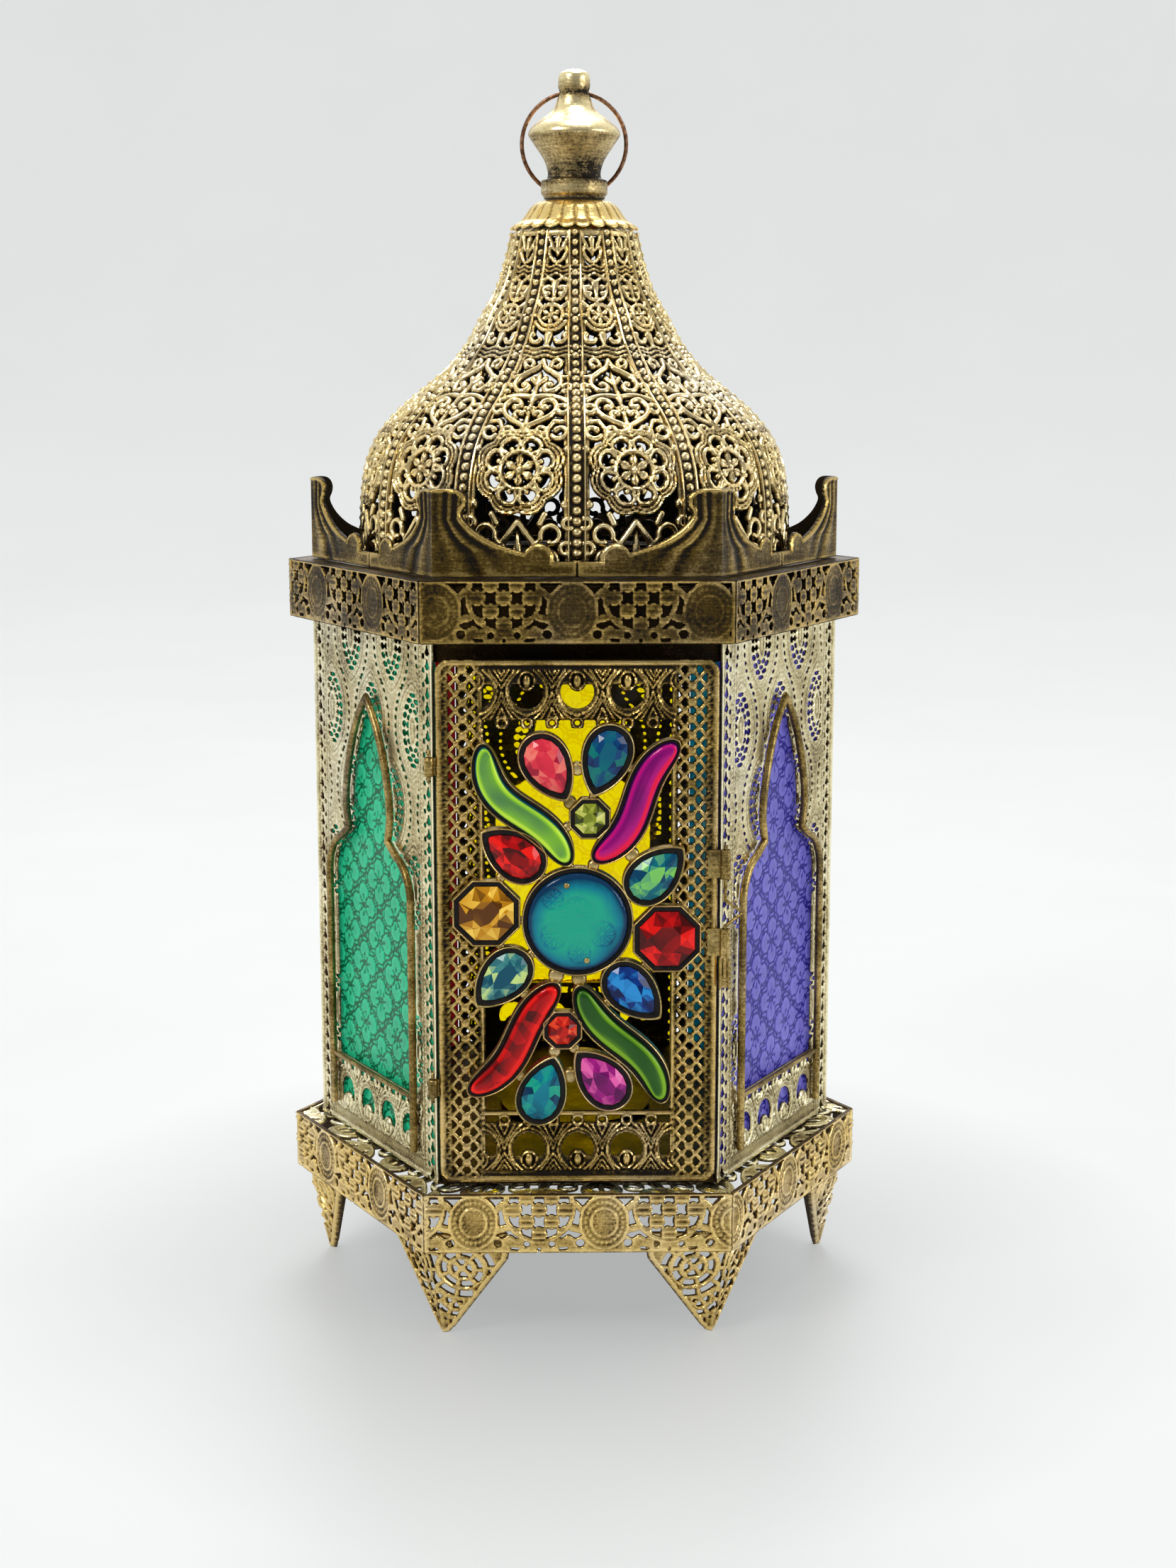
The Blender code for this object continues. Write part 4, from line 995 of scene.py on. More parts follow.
def draw_arcade(sheet, x, y):
    """One bay of an arcade: x from the middle of its bud, y up from its rail."""
    half = BAY / 2
    sheet.add(np.minimum(y + 9, 14.6 - y), 0.25, 0.4)
    bud = oval(x, y, 0, 4.3, 2.3, 2.7)
    opening = np.minimum(disc(x, y, 0, 7.3, 4.35), y - 5.3)
    sheet.pierce(np.minimum(opening, -bud - 0.1), 0.3)
    horseshoe = [(1.9, 1.6), (4.0, 3.7), (5.15, 5.8), (5.3, 7.7), (4.6, 9.9), (2.8, 12.2), (0, 13.4)]
    for radius, line in (
        (0.42, spline(horseshoe, 3)), (0.4, [(3.2, 1.6), (4.9, 3.8), (half, 6.2)]),
        (0.4, [(half, 7.2), (5.6, 9.8), (3.6, 12.6), (1.9, 14.2)]),
        (0.36, [(4.7, 1.6), (half, 4.5)]), (0.3, [(5.7, 1.6), (half, 2.9)]),
        (0.36, [(half, 9.3), (4.9, 12.2), (3.6, 14.3)]), (0.34, [(half, 11.3), (5.3, 14.3)]),
    ):
        sheet.emboss(stroke(x, y, line, radius), 0.95, radius)
    sheet.emboss(0.4 - np.abs(bud - 0.35), 0.95, 0.4)
    seed = oval(x, y, 0, 4.4, 1.15, 2.0)
    sheet.add(seed, 1.1, 1.0)
    sheet.engrave(np.minimum(bud - 0.55, 0.1 - seed), 0.5, 0.3)
    for middle in (0, half):
        sheet.add(disc(x, y, middle, 15.4, 1.8), 0.35, 0.4)
        sheet.emboss(ring(x, y, middle, 15.4, 1.3, 0.85), 1.0, 0.42)
        sheet.pierce(disc(x, y, middle, 15.4, 0.7), 0.2)
    sheet.add(np.minimum(y - 16.6, 17.9 - y), 0.7, 0.5)


def draw_medallions(sheet):
    """A half-drop net of pointed ovals, each with two rings of small holes round a flower."""
    half_x, half_y = 6.6, 11.0
    shift = (half_y ** 2 - half_x ** 2) / (2 * half_x)
    for phase_x, phase_y in ((MEDALLION_X / 2, 187.0), (0.0, 165.0)):
        x = np.abs(repeat(sheet.u, MEDALLION_X, phase_x))
        y = repeat(sheet.v, MEDALLION_Y, phase_y)
        r = np.hypot(x + shift, y)
        depth = half_x + shift - r
        along = np.arctan2(y, x + shift) * r
        braid = 0.75 + 0.25 * np.cos(2 * math.pi * (along - depth) / 1.3)
        sheet.top = np.maximum(sheet.top, 0.75 * braid * rounded((0.55 - np.abs(depth + 1.0)) / 0.5))
        sheet.emboss(0.34 - np.abs(depth + 2.3), 0.6, 0.34)
        for ring_depth, pitch, size in ((1.35, 2.5, 0.95), (3.5, 2.2, 0.8)):
            hole = size - np.hypot((depth - ring_depth) / 1.15, repeat(along, pitch, pitch / 2))
            sheet.pierce(np.minimum(hole, depth), 0.22)
        hole = 0.62 - np.hypot(depth + 3.9, repeat(along, 2.3))
        sheet.pierce(np.minimum(hole, 12.5 - np.abs(along)), 0.2)
        sheet.emboss(0.32 - np.abs(oval(x, y, 0, 0, 1.9, 4.2)), 0.65, 0.32)
        sheet.emboss(stroke(x, y, [(0, -1.6), (0, 1.6)], 0.7), 0.7, 0.6)


def draw_edge_strip(sheet, x):
    """A panel's border: a rolled edge, a column of small triangles, dots and a beaded line."""
    v = sheet.v
    sheet.add(PANEL_HALF - x, 0.3, 0.3)
    y = repeat(v, 3.75)
    sheet.pierce(stroke(x, y, [(32.6, -0.9), (34.5, -0.9)], 0.28), 0.2)
    sheet.pierce(stroke(x, y, [(33.55, -0.7), (33.55, 1.1)], [1.0, 0.25]), 0.2)
    sheet.pierce(disc(x, repeat(v, 3.75, 1.9), 31.4, 0, 0.72), 0.2)
    sheet.emboss(0.5 - np.hypot(x - 29.9, repeat(v, 1.3)), 0.7, 0.5)
    sheet.emboss(0.34 - np.abs(x - 28.8), 0.6, 0.34)
    sheet.emboss(0.9 - np.abs(x - 36.1), 0.8, 0.9)


def panel_sheet(low, high):
    sheet = Sheet((-PANEL_HALF, low), (PANEL_HALF, high), PANEL_STEP)
    x, v = np.abs(sheet.u), sheet.v
    sheet.add(np.full(v.shape, FAR), 0.3)
    draw_medallions(sheet)
    strip = sheet.blank()
    draw_edge_strip(strip, x)
    sheet.paste(strip, x > STRIP_X)
    foot = sheet.blank()
    draw_arcade(foot, np.abs(repeat(sheet.u, BAY, BAY / 2)), v - ARCADE_Z)
    foot.add(x - 26.6, 0.3, 0.4)
    foot.add(v - 63.0, 0.3, 0.4)
    sheet.paste(foot, (v < 64.2) & (x < STRIP_X))
    sheet.pierce(polygon(sheet.u, v, keyhole(0.2)), 0.2)
    sheet.emboss(np.minimum(v - low, 1.6 + low - v), 0.8, 0.6)
    sheet.trim(np.minimum(np.minimum(v - low, high - v), PANEL_HALF - x) - SEAM)
    sheet.top = sheet.top * PANEL_RELIEF
    return sheet


def pane_sheet(half, low, high):
    """Pressed glass: a half-drop net of four-lobed medallions, each with a flower in its middle."""
    sheet = Sheet((-half, low), (half, high), PANE_STEP)
    sheet.add(np.minimum(half - np.abs(sheet.u), np.minimum(sheet.v - low, high - sheet.v)) - 0.1, 0.45)
    groove = np.full(sheet.u.shape, -FAR)
    for phase in (0, 1):
        x = np.abs(repeat(sheet.u, LOBE_X, LOBE_X / 2 * phase))
        y = np.abs(repeat(sheet.v, LOBE_Y, LOBE_Y / 2 * phase))
        lobes = np.maximum(disc(x, y, 0, 3.6, 4.4), disc(x, y, 4.2, 0, 4.4))
        along, across = spokes(x, y, 0, 0, 8)
        petals = stroke(along, across, [(1.3, 0), (2.7, 0)], [0.2, 0.5])
        dots = np.maximum(disc(x, y, 0, 0, 0.6), disc(x, y, LOBE_X / 2, 0, 0.8))
        for line in (0.42 - np.abs(lobes), 0.36 - np.abs(lobes - 1.3), petals, dots):
            groove = np.maximum(groove, line)
    sheet.engrave(groove, 0.4, 0.4)
    sheet.patina = 0.4 * rounded(groove / 0.35)
    return sheet


def tube(points, radius, normals, sides=12):
    """A round rod along planar points; normals are the directions across the plane at each."""
    points = np.asarray(points, float)
    along = np.gradient(points, axis=0)
    side = np.cross(along, normals)
    side /= np.linalg.norm(side, axis=1)[:, None]
    turn = np.radians(np.arange(sides) * 360 / sides)[None, :, None]
    return loft(points[:, None] + radius * (np.cos(turn) * side[:, None] + np.sin(turn) * normals[:, None]))


def make_moulding(k, name, apothem):
    """The half-round strip round a window, its legs, and the sill between them."""
    outline = [(WINDOW_HALF + MOULDING_R, z) for z in np.linspace(LEG_Z, SILL_Z, 8)]
    outline += keyhole_side(MOULDING_R)[1:]
    line = np.array(outline + [(-x, z) for x, z in reversed(outline[:-1])])
    out = apothem + MOULDING_R + 0.3
    sill = np.array([(x, SILL_Z) for x in np.linspace(-WINDOW_HALF - 1, WINDOW_HALF + 1, 12)])
    parts = []
    for path, radius in ((line, MOULDING_R), (sill, SILL_R)):
        normals = np.tile([0.0, 1.0, 0.0], (len(path), 1))
        parts.append(tube(at_depth(path, -out), radius, normals))
    points, faces = joined(parts)
    mesh = new_mesh("window_moulding_" + name, turned_by(*points.T, 60 * k), faces)
    piece(mesh, BRASSES["brass_frame"], "lantern", ["moulding_" + name])


def make_panels():
    low_corner, high_corner = span("panel_back")
    apothem, low, high = high_corner[1], low_corner[2], high_corner[2]
    panel = panel_sheet(low, high).trace()
    pane_low, pane_high = span("pane_back")
    pane = pane_sheet(pane_high[0], pane_low[2], pane_high[2]).trace()
    for k, (name, slot) in enumerate(zip(FACE_NAMES, PANE_SLOTS), start=1):
        mesh = sheet_mesh("lattice_" + name, panel, THICK["panel"], on_side(k, apothem - PANEL_INSET))
        piece(mesh, BRASSES["brass_panel"], "lantern", ["panel_" + name])
        mesh = sheet_mesh("pressed_" + name, pane, THICK["pane"], on_side(k, pane_high[1] - PANEL_INSET))
        piece(mesh, GLASSES[slot], "lantern", ["pane_" + name])
        make_moulding(k, name, apothem)


# --- corner pieces -------------------------------------------------------------------------------

FOOT_TIP, FOOT_TOP, FOOT_TOP_Z = 73.3, 81.1, 31.0      # distances from the axis, and a height
FOOT_OUTLINE = [(0, 0.1), (1.2, 0.3), (2.6, 1.4), (20.0, 22.6), (21.0, 26.0), (21.0, 30.9), (0, 30.9)]
LEAF_CORNER, LEAF_Z = 73.9, 206.5
LEAF_OUTLINE = [
    (0, 22.6), (3.0, 22.7), (5.8, 22.4), (7.8, 21.4), (8.8, 19.6), (8.3, 17.8), (7.3, 16.4),
    (7.9, 14.8), (10.0, 12.5), (12.9, 10.4), (16.3, 8.6), (20.3, 7.2), (24.0, 6.0), (27.0, 4.6),
    (30.5, 4.0), (37.1, 3.9),
]                               # distance from the fold, height above LEAF_Z
LEAF_EAR = (27.1, 4.5, 4.1)     # the round ear at the outer end of each wing
# How far from the fold the last flute lies, at heights above LEAF_Z.
LEAF_SWEEP = [(0, 29), (2, 27), (4, 25), (6.9, 21.5), (8.6, 16.3), (10.4, 12.9), (12.5, 10), (14.8, 7.9),
              (22, 8.6)]


def crescents(sheet, x, centre, radius, count, width, turn=0.0):
    """A ring of curved slots round a centre, kept inside the sheet's own edge."""
    edge = sheet.metal.copy()
    along, across = spokes(x, sheet.v, *centre, count, turn)
    r = np.hypot(along, across)
    length = math.pi * radius / count - 0.55
    slot = np.minimum(width / 2 - np.abs(r - radius), length - np.abs(np.arctan2(across, along)) * radius)
    sheet.pierce(np.minimum(slot, edge - 1.3), 0.25)


def foot_sheet():
    sheet = Sheet((-21.6, 0), (21.6, FOOT_TOP_Z))
    x = np.abs(sheet.u)
    inside = polygon(x, sheet.v, np.array(FOOT_OUTLINE))
    along_fold = np.maximum(inside, np.minimum(sheet.v, FOOT_TOP_Z - sheet.v) - 0.1)
    inside = np.where(x < 1.3, along_fold, inside)
    sheet.add(inside, 0.4, 0.6)
    sheet.emboss(0.6 - np.abs(inside - 0.8), 0.85, 0.6)
    lower, upper = (4.3, 10.0), (7.6, 20.0)
    for centre, radius, count, width, turn in (
        (upper, 1.9, 4, 1.7, 90), (upper, 4.7, 7, 2.1, 70), (upper, 7.9, 10, 2.3, 90),
        (lower, 1.6, 4, 1.5, -90), (lower, 4.0, 6, 1.9, -90), ((2.0, 4.4), 1.0, 3, 1.0, 60),
    ):
        crescents(sheet, x, centre, radius, count, width, turn)
    for centre, radius in ((upper, 3.2), (upper, 6.1), (lower, 2.6)):
        sheet.emboss(np.minimum(ring(x, sheet.v, *centre, radius, 0.8), sheet.metal), 0.8, 0.4)
    sheet.emboss(1.0 - x, 0.7, 1.0)
    return sheet


def leaf_sheet():
    """An upright leaf with flutes that sweep from its tip and fan out along its foot."""
    sheet = Sheet((-37.2, LEAF_Z), (37.2, LEAF_Z + 22.8))
    x, y = np.abs(sheet.u), sheet.v - LEAF_Z
    line = spline(LEAF_OUTLINE, 5)
    outline = np.vstack([line, [(45, 3.9), (45, -5), (-5, -5), (-5, 22.3)]])
    inside = np.maximum(polygon(x, y, outline), disc(x, y, *LEAF_EAR))
    sheet.add(inside, 0.55, 0.8)
    sheet.trim(np.minimum(y - 0.02, 37.1 - x))
    sweep = np.interp(y, *zip(*LEAF_SWEEP))
    flutes = 0.5 + 0.5 * np.cos(2 * math.pi * 3.5 * (x / sweep) ** 0.9)
    fade = np.clip((19 - x) / 7, 0, 1) * np.clip((inside - 0.6) / 0.6, 0, 1)
    fade = fade * np.clip(x / sweep * 3 - 0.3, 0.25, 1)
    sheet.top = sheet.top - 0.5 * (1 - flutes) * fade
    sheet.patina = 0.34 * (1 - flutes) * fade - 0.06
    sheet.emboss(np.minimum(0.5 - np.abs(inside - 0.6), 31.3 - x), 0.8, 0.5)
    return sheet


def make_corners():
    slope = (FOOT_TOP - FOOT_TIP) / FOOT_TOP_Z
    foot, leaf = foot_sheet().trace(), leaf_sheet().trace()
    for k, name in enumerate(CORNER_NAMES):
        place = on_corner(k, FOOT_TIP - THICK["foot"], slope)
        mesh = sheet_mesh("filigree_foot_" + name, foot, THICK["foot"], place)
        piece(mesh, BRASSES["brass_gold"], "lantern", ["foot_" + name])
        mesh = sheet_mesh("fluted_leaf_" + name, leaf, THICK["leaf"], on_corner(k, LEAF_CORNER, 0.0))
        piece(mesh, BRASSES["brass_leaf"], "lantern", ["crown_leaf_" + name])


# --- cap, finial and ring ------------------------------------------------------------------------

CAP_PROFILE = [
    (8.6, 304.9), (10.3, 304.4), (12.2, 303.0), (13.6, 301.0), (15.0, 299.3), (17.0, 298.1), (17.9, 297.3),
    (17.6, 296.9), (16.5, 297.4), (14.4, 298.6), (12.8, 300.6), (11.4, 302.4), (9.0, 303.6),
]
FINIAL_PROFILE = [
    (0.4, 340.0), (1.6, 339.95), (2.9, 339.6), (3.9, 338.9), (4.3, 338.0), (4.4, 336.4),
    (4.4, 334.6), (4.25, 334.2), (4.3, 333.7), (4.6, 332.4), (5.3, 330.3),
    (6.4, 328.9), (7.8, 327.7), (9.6, 326.3), (11.4, 324.9), (12.4, 323.7), (12.7, 322.7),
    (12.4, 321.9), (11.6, 320.7), (10.3, 318.8), (9.1, 317.1), (8.1, 315.3), (7.5, 313.4),
    (7.3, 312.0), (7.6, 310.9), (8.6, 310.5), (9.1, 310.2), (9.2, 309.0), (9.2, 307.0),
    (8.9, 306.4), (8.6, 306.1), (8.4, 305.4),
]
# Bright on its widest parts and its top, dark in its waists, by height.
FINIAL_WEAR = [(305, 0.2), (308, 0.55), (311, 0.1), (314.5, 0.25), (319, 0.5), (322, 0.4), (323, 0.75),
               (327, 1.0), (331, 0.9), (333.8, 0.15), (334.9, 0.35), (337, 0.6), (339, 1.0)]
RING_PIVOT_Z, RING_R, RING_WIRE_R, RING_LEAN = 334.0, 14.5, 0.58, 20.4
RING_HOLE_R, RING_HOLE_Z = 1.8, 333.7
FLUTES = 24


def turned(profile, count, flute=None):
    """A profile of (radius, height) turned about Z; flute(angle, radius) changes radius and height."""
    angle = np.linspace(0, 2 * math.pi, count, endpoint=False)
    rings = []
    for r, z in profile:
        dr, dz = flute(angle, r) if flute else (0, 0)
        rings.append(hoop(r + dr, z + dz, angle))
    return rings


def petal_flute(angle, radius):
    """Round petals side by side, deeper towards the rim, whose lower edge is scalloped."""
    share = np.clip((radius - 9.5) / 8.0, 0, 1)
    petal = np.abs(np.sin(angle * FLUTES / 2))
    return -1.3 * share * (1 - petal) ** 1.5, 0.7 * share * (1 - petal)


def make_finial():
    points, faces = loft(turned(spline(FINIAL_PROFILE, 3), 96))
    mesh = new_mesh("turned_finial", points, faces, np.interp(points[:, 2], *zip(*FINIAL_WEAR)))
    finial = piece(mesh, BRASSES["brass_finial"], "lantern", ["finial"])
    turn = np.radians(np.arange(24) * 15)
    ends = [np.column_stack([np.full(24, x), RING_HOLE_R * np.cos(turn),
                             RING_HOLE_Z + RING_HOLE_R * np.sin(turn)]) for x in (-15, 15)]
    drill = linked("drill", new_mesh("drill", *loft(ends)))
    cut = finial.modifiers.new("ring_hole", "BOOLEAN")
    cut.operation = "DIFFERENCE"
    cut.object = drill
    bpy.context.view_layer.update()
    graph = bpy.context.evaluated_depsgraph_get()
    cut_mesh = bpy.data.meshes.new_from_object(finial.evaluated_get(graph))
    finial.modifiers.clear()
    finial.data = cut_mesh
    bpy.data.objects.remove(drill)


def make_cap():
    profile = [tuple(p) for p in spline(CAP_PROFILE, 4)]
    points, faces = loft(turned(profile, FLUTES * 12, petal_flute), wrap=True)
    angle = np.arctan2(points[:, 1], points[:, 0])
    petal = np.abs(np.sin(angle * FLUTES / 2))
    mesh = new_mesh("fluted_cap", points, faces, 0.25 + 0.75 * petal)
    piece(mesh, BRASSES["brass_gold"], "lantern", ["petal_cap"])


def make_ring():
    turn = np.linspace(0, 2 * math.pi, 144, endpoint=False)
    lean = math.radians(RING_LEAN - 90)
    across = np.radians(np.arange(14) * 360 / 14)
    rings = []
    for t in turn:
        r = RING_R + RING_WIRE_R * np.cos(across)
        x, y, z = r * math.cos(t), RING_R + r * math.sin(t), RING_WIRE_R * np.sin(across)
        rings.append(np.column_stack([x, y * math.cos(lean) - z * math.sin(lean),
                                      RING_PIVOT_Z + y * math.sin(lean) + z * math.cos(lean)]))
    points, faces = loft(rings, wrap=True)
    piece(new_mesh("wire_ring", points, faces), COPPER, "ring", ["hanging_ring"])


# --- door ----------------------------------------------------------------------------------------

DOOR_FACE_Y, DOOR_HALF, DOOR_Z, DOOR_CORNER_R = -66.4, 37.0, (44.0, 185.6), 4.0
DOOR_WINDOW_HALF, DOOR_WINDOW_Z = 24.5, (63.9, 167.4)
HINGE_XY, KNUCKLE_Z, KNUCKLE_LENGTH, KNUCKLE_R = (-38.6, -66.9), (68.0, 155.0), 5.0, 1.3
PIN_HOLE_R, STRAP_END = 0.75, -35.4
LATTICE_X, LATTICE_Y = 3.7, 4.3  # pitches of the door's small lattice


def draw_column(sheet, x):
    """The door's side column: ticks beside the rim, then a diagonal lattice with knobs, then a rail."""
    v = sheet.v
    inwards = DOOR_HALF - x
    across, up = repeat(inwards, LATTICE_X, 5.35), repeat(v, LATTICE_Y)
    slope = LATTICE_Y / LATTICE_X
    bars = 0.56 - np.abs(np.abs(up) - np.abs(across) * slope) / math.hypot(1, slope)
    sheet.add(bars, 0.65, 0.5)
    knob_x, knob_up = inwards - 7.2, repeat(v, LATTICE_Y, LATTICE_Y / 2)
    sheet.add(1.3 - np.hypot(knob_x, knob_up), 0.95, 1.2)
    sheet.add(0.85 - np.hypot(across, up), 0.9, 0.8)
    sheet.add(3.4 - inwards, 0.3, 0.3)
    sheet.emboss(np.minimum(0.42 - np.abs(repeat(v, 1.45)), 0.9 - np.abs(inwards - 2.3)), 0.7, 0.4)
    sheet.add(inwards - 11.0 + 0.3 * np.cos(2 * math.pi * v / LATTICE_Y), 0.35, 0.4)
    sheet.emboss(0.42 - np.abs(inwards - 11.9), 0.85, 0.42)


def door_sheet():
    low, high = DOOR_Z
    sheet = Sheet((-DOOR_HALF, low), (DOOR_HALF, high), DOOR_STEP)
    x, v = np.abs(sheet.u), sheet.v
    draw_column(sheet, x)
    sheet.add(np.maximum(low + 1.6 - v, v - high + 1.6), 0.4, 0.4)
    for base, direction in ((ARCADE_Z, 1), (high - 1.4, -1)):
        bays = sheet.blank()
        draw_arcade(bays, np.abs(repeat(sheet.u, BAY)), (v - base) * direction)
        bays.add(x - 24.6, 0.35, 0.4)
        sheet.paste(bays, (x < 25.6) & ((v - base) * direction < 18.5))
    window_low, window_high = DOOR_WINDOW_Z
    window = np.minimum(DOOR_WINDOW_HALF - x, np.minimum(v - window_low, window_high - v))
    sheet.pierce(window, 0.3)
    radius = DOOR_CORNER_R
    corner_x = x - DOOR_HALF + radius
    corner_v = np.abs(v - (low + high) / 2) - (high - low) / 2 + radius
    edge = radius - np.hypot(np.maximum(corner_x, 0), np.maximum(corner_v, 0))
    edge = np.minimum(edge, radius - np.maximum(corner_x, corner_v))
    sheet.emboss(1.0 - np.abs(edge - 1.0), 1.0, 1.0)
    sheet.metal = np.where(edge < 1.9, np.maximum(sheet.metal, 1.9 - edge), sheet.metal)
    sheet.trim(edge - SEAM)
    return sheet


def make_door():
    place = facing_front(0.0, DOOR_FACE_Y + THICK["door"], 0.0)
    mesh = sheet_mesh("door_frame", door_sheet().trace(), THICK["door"], place)
    piece(mesh, BRASSES["brass_door"], "door", ["door_panel"])
    points, faces = joined([part for z in KNUCKLE_Z for part in knuckle(z)])
    mesh = new_mesh("hinge_knuckles", points, faces)
    piece(mesh, BRASSES["brass_frame"], "door", ["door_panel"])


def knuckle(z):
    """A tube rolled round the hinge's pin, and the strap that joins it to the door."""
    x, y = HINGE_XY
    top = z + KNUCKLE_LENGTH
    end = [(PIN_HOLE_R, 0.2), (PIN_HOLE_R + 0.15, 0.0), (KNUCKLE_R - 0.2, 0.0), (KNUCKLE_R, 0.25)]
    profile = [(r, z + up) for r, up in end] + [(r, top - up) for r, up in reversed(end)]
    points, faces = loft(turned(profile, 32), wrap=True)
    near, far, inside, outside = x + 1.0, STRAP_END, y + 1.25, y + 0.55
    corners = ((near, outside), (far, outside), (far, inside), (near, inside))
    strap = loft([[(cx, cy, cz) for cx, cy in corners] for cz in (z + 0.2, top - 0.2)])
    return (points + [x, y, 0], faces), strap


# --- stones and their setting --------------------------------------------------------------------

SETTING_BACK_Y, BEZEL_DEPTH = -66.7, 3.4
STONE_FOOT_Y, GIRDLE_LOW_Y, GIRDLE_HIGH_Y, CROWN_Y, STONE_FRONT_Y = -67.2, -69.0, -69.7, -70.7, -71.2
CENTRE_FACE_Y = -69.75
PEAR, OCTAGON, ROUND = "pear", "octagon", "round"
PEAR_RATIO, PEAR_ROUND, PEAR_TIP, S_WIDTH = 0.675, 0.55, 1.52, 9.3
# Each stone's kind, the x and z of its middle, its bezel's length, which way a pear points, and its
# glass.
STONES = {
    "stone_centre": (ROUND, 0.0, 116.7, 29.4, 0, "gem_teal"),
    "stone_octagon_left": (OCTAGON, -23.9, 119.0, 17.8, 0, "gem_amber"),
    "stone_octagon_right": (OCTAGON, 23.5, 112.0, 18.0, 0, "gem_red"),
    "stone_octagon_upper": (OCTAGON, 3.2, 144.2, 10.9, 0, "gem_chartreuse"),
    "stone_octagon_lower": (OCTAGON, -4.0, 87.2, 10.5, 0, "gem_orange"),
    "stone_pear_top_left": (PEAR, -7.5, 157.5, 20.0, -61, "gem_pink"),
    "stone_pear_top_right": (PEAR, 7.2, 159.4, 20.0, -109, "gem_sky"),
    "stone_pear_upper_left": (PEAR, -17.1, 135.0, 20.0, 145, "gem_red"),
    "stone_pear_upper_right": (PEAR, 20.6, 129.5, 20.0, 44, "gem_sea"),
    "stone_pear_lower_left": (PEAR, -20.1, 101.1, 20.0, -133, "gem_aqua"),
    "stone_pear_lower_right": (PEAR, 14.8, 97.4, 20.0, -45, "gem_blue"),
    "stone_pear_bottom_left": (PEAR, -9.2, 70.7, 20.0, 72, "gem_teal"),
    "stone_pear_bottom_right": (PEAR, 6.0, 73.9, 20.0, 131, "gem_magenta"),
}
# The ends of an S-shaped stone's middle line, its bow and its wave, and its glass.
S_STONES = {
    "stone_s_upper_left": ((-24.4, 163.4), (-2.5, 132.4), -2.9, -2.3, "gem_lime"),
    "stone_s_upper_right": ((25.8, 163.9), (4.4, 133.5), 0.8, -1.9, "gem_crimson"),
    "stone_s_lower_left": ((-5.5, 99.3), (-28.6, 70.5), 1.8, -1.5, "gem_red"),
    "stone_s_lower_right": ((0.5, 98.7), (22.4, 67.8), 0.7, -1.8, "gem_green"),
}
# The bezel's section, as inset from its outer edge and depth from the front of the setting.
BEZEL_SECTION = [(0.0, 3.4), (0.0, 0.3), (0.08, 0.1), (0.22, 0.0), (0.38, 0.06), (0.5, 0.3), (0.6, 1.2),
                 (0.9, 3.4)]
BED_SECTION = [(0.5, 3.1), (0.5, 0.5), (0.9, 0.45), (1.4, 0.6), (2.3, 0.9), (2.6, 3.1)]
SOLDER_GAP = 2.7                # bezels nearer than this are joined
# The studs of solder and brass, as (share of the radius, y).
SOLDER_PROFILE = [(1.0, SETTING_BACK_Y), (1.0, -68.4), (0.9, -68.9), (0.6, -69.2), (0.1, -69.3)]
DOT_PROFILE = [(1.0, -70.6), (1.0, -71.0), (0.75, -71.15), (0.1, STONE_FRONT_Y)]
# An S-shaped stone's section as (inset, y), and its tone by inset: painted shade at the rim and a painted
# highlight just inside it.
S_SECTION = [(1.3, STONE_FOOT_Y), (1.3, -69.5), (1.35, -70.0), (1.55, -70.4), (1.9, -70.75),
             (2.35, -70.95), (3.1, -71.1), (4.1, STONE_FRONT_Y)]
S_PAINTED_LIGHT = [(1.3, 1.55, 1.9, 2.35, 3.1, 4.1), (0.05, 0.2, 0.9, 0.78, 0.42, 0.38)]
# The flowers engraved in the centre stone, as (x, y, size) from its middle.
FLOWERS = [(0, 2.5, 3.8), (-6.2, -3.5, 3.0), (6.4, -3.0, 3.0), (0.4, -8.0, 2.6), (-6.5, 6.4, 2.4)]


def stone_outline(kind, x, z, length, angle, inset, count, phase=0.0):
    """Points of a stone's outline, moved in from the bezel's outer edge by inset."""
    t = 2 * math.pi * (np.arange(count) + phase) / count
    if kind == PEAR:
        turn = np.array([math.cos(math.radians(angle)), math.sin(math.radians(angle))])
        side = np.array([-turn[1], turn[0]])
        centre = np.array([x, z]) - turn * inset * (PEAR_TIP - 1) / 2
        widest = (1 + PEAR_ROUND) / (2 + PEAR_ROUND)
        peak = 2 * widest ** ((1 + PEAR_ROUND) / 2) * math.sqrt(1 - widest)
        across = np.sin(t) * np.abs(np.sin(t / 2)) ** PEAR_ROUND / peak * (length * PEAR_RATIO / 2 - inset)
        along = np.cos(t) * (length / 2 - inset * (PEAR_TIP + 1) / 2)
        return centre + along[:, None] * turn + across[:, None] * side
    r = np.full(count, length / 2 - inset)
    if kind == OCTAGON:
        r = r / np.cos(repeat(t, math.pi / 4))
    return np.column_stack([x + r * np.cos(t), z + r * np.sin(t)])


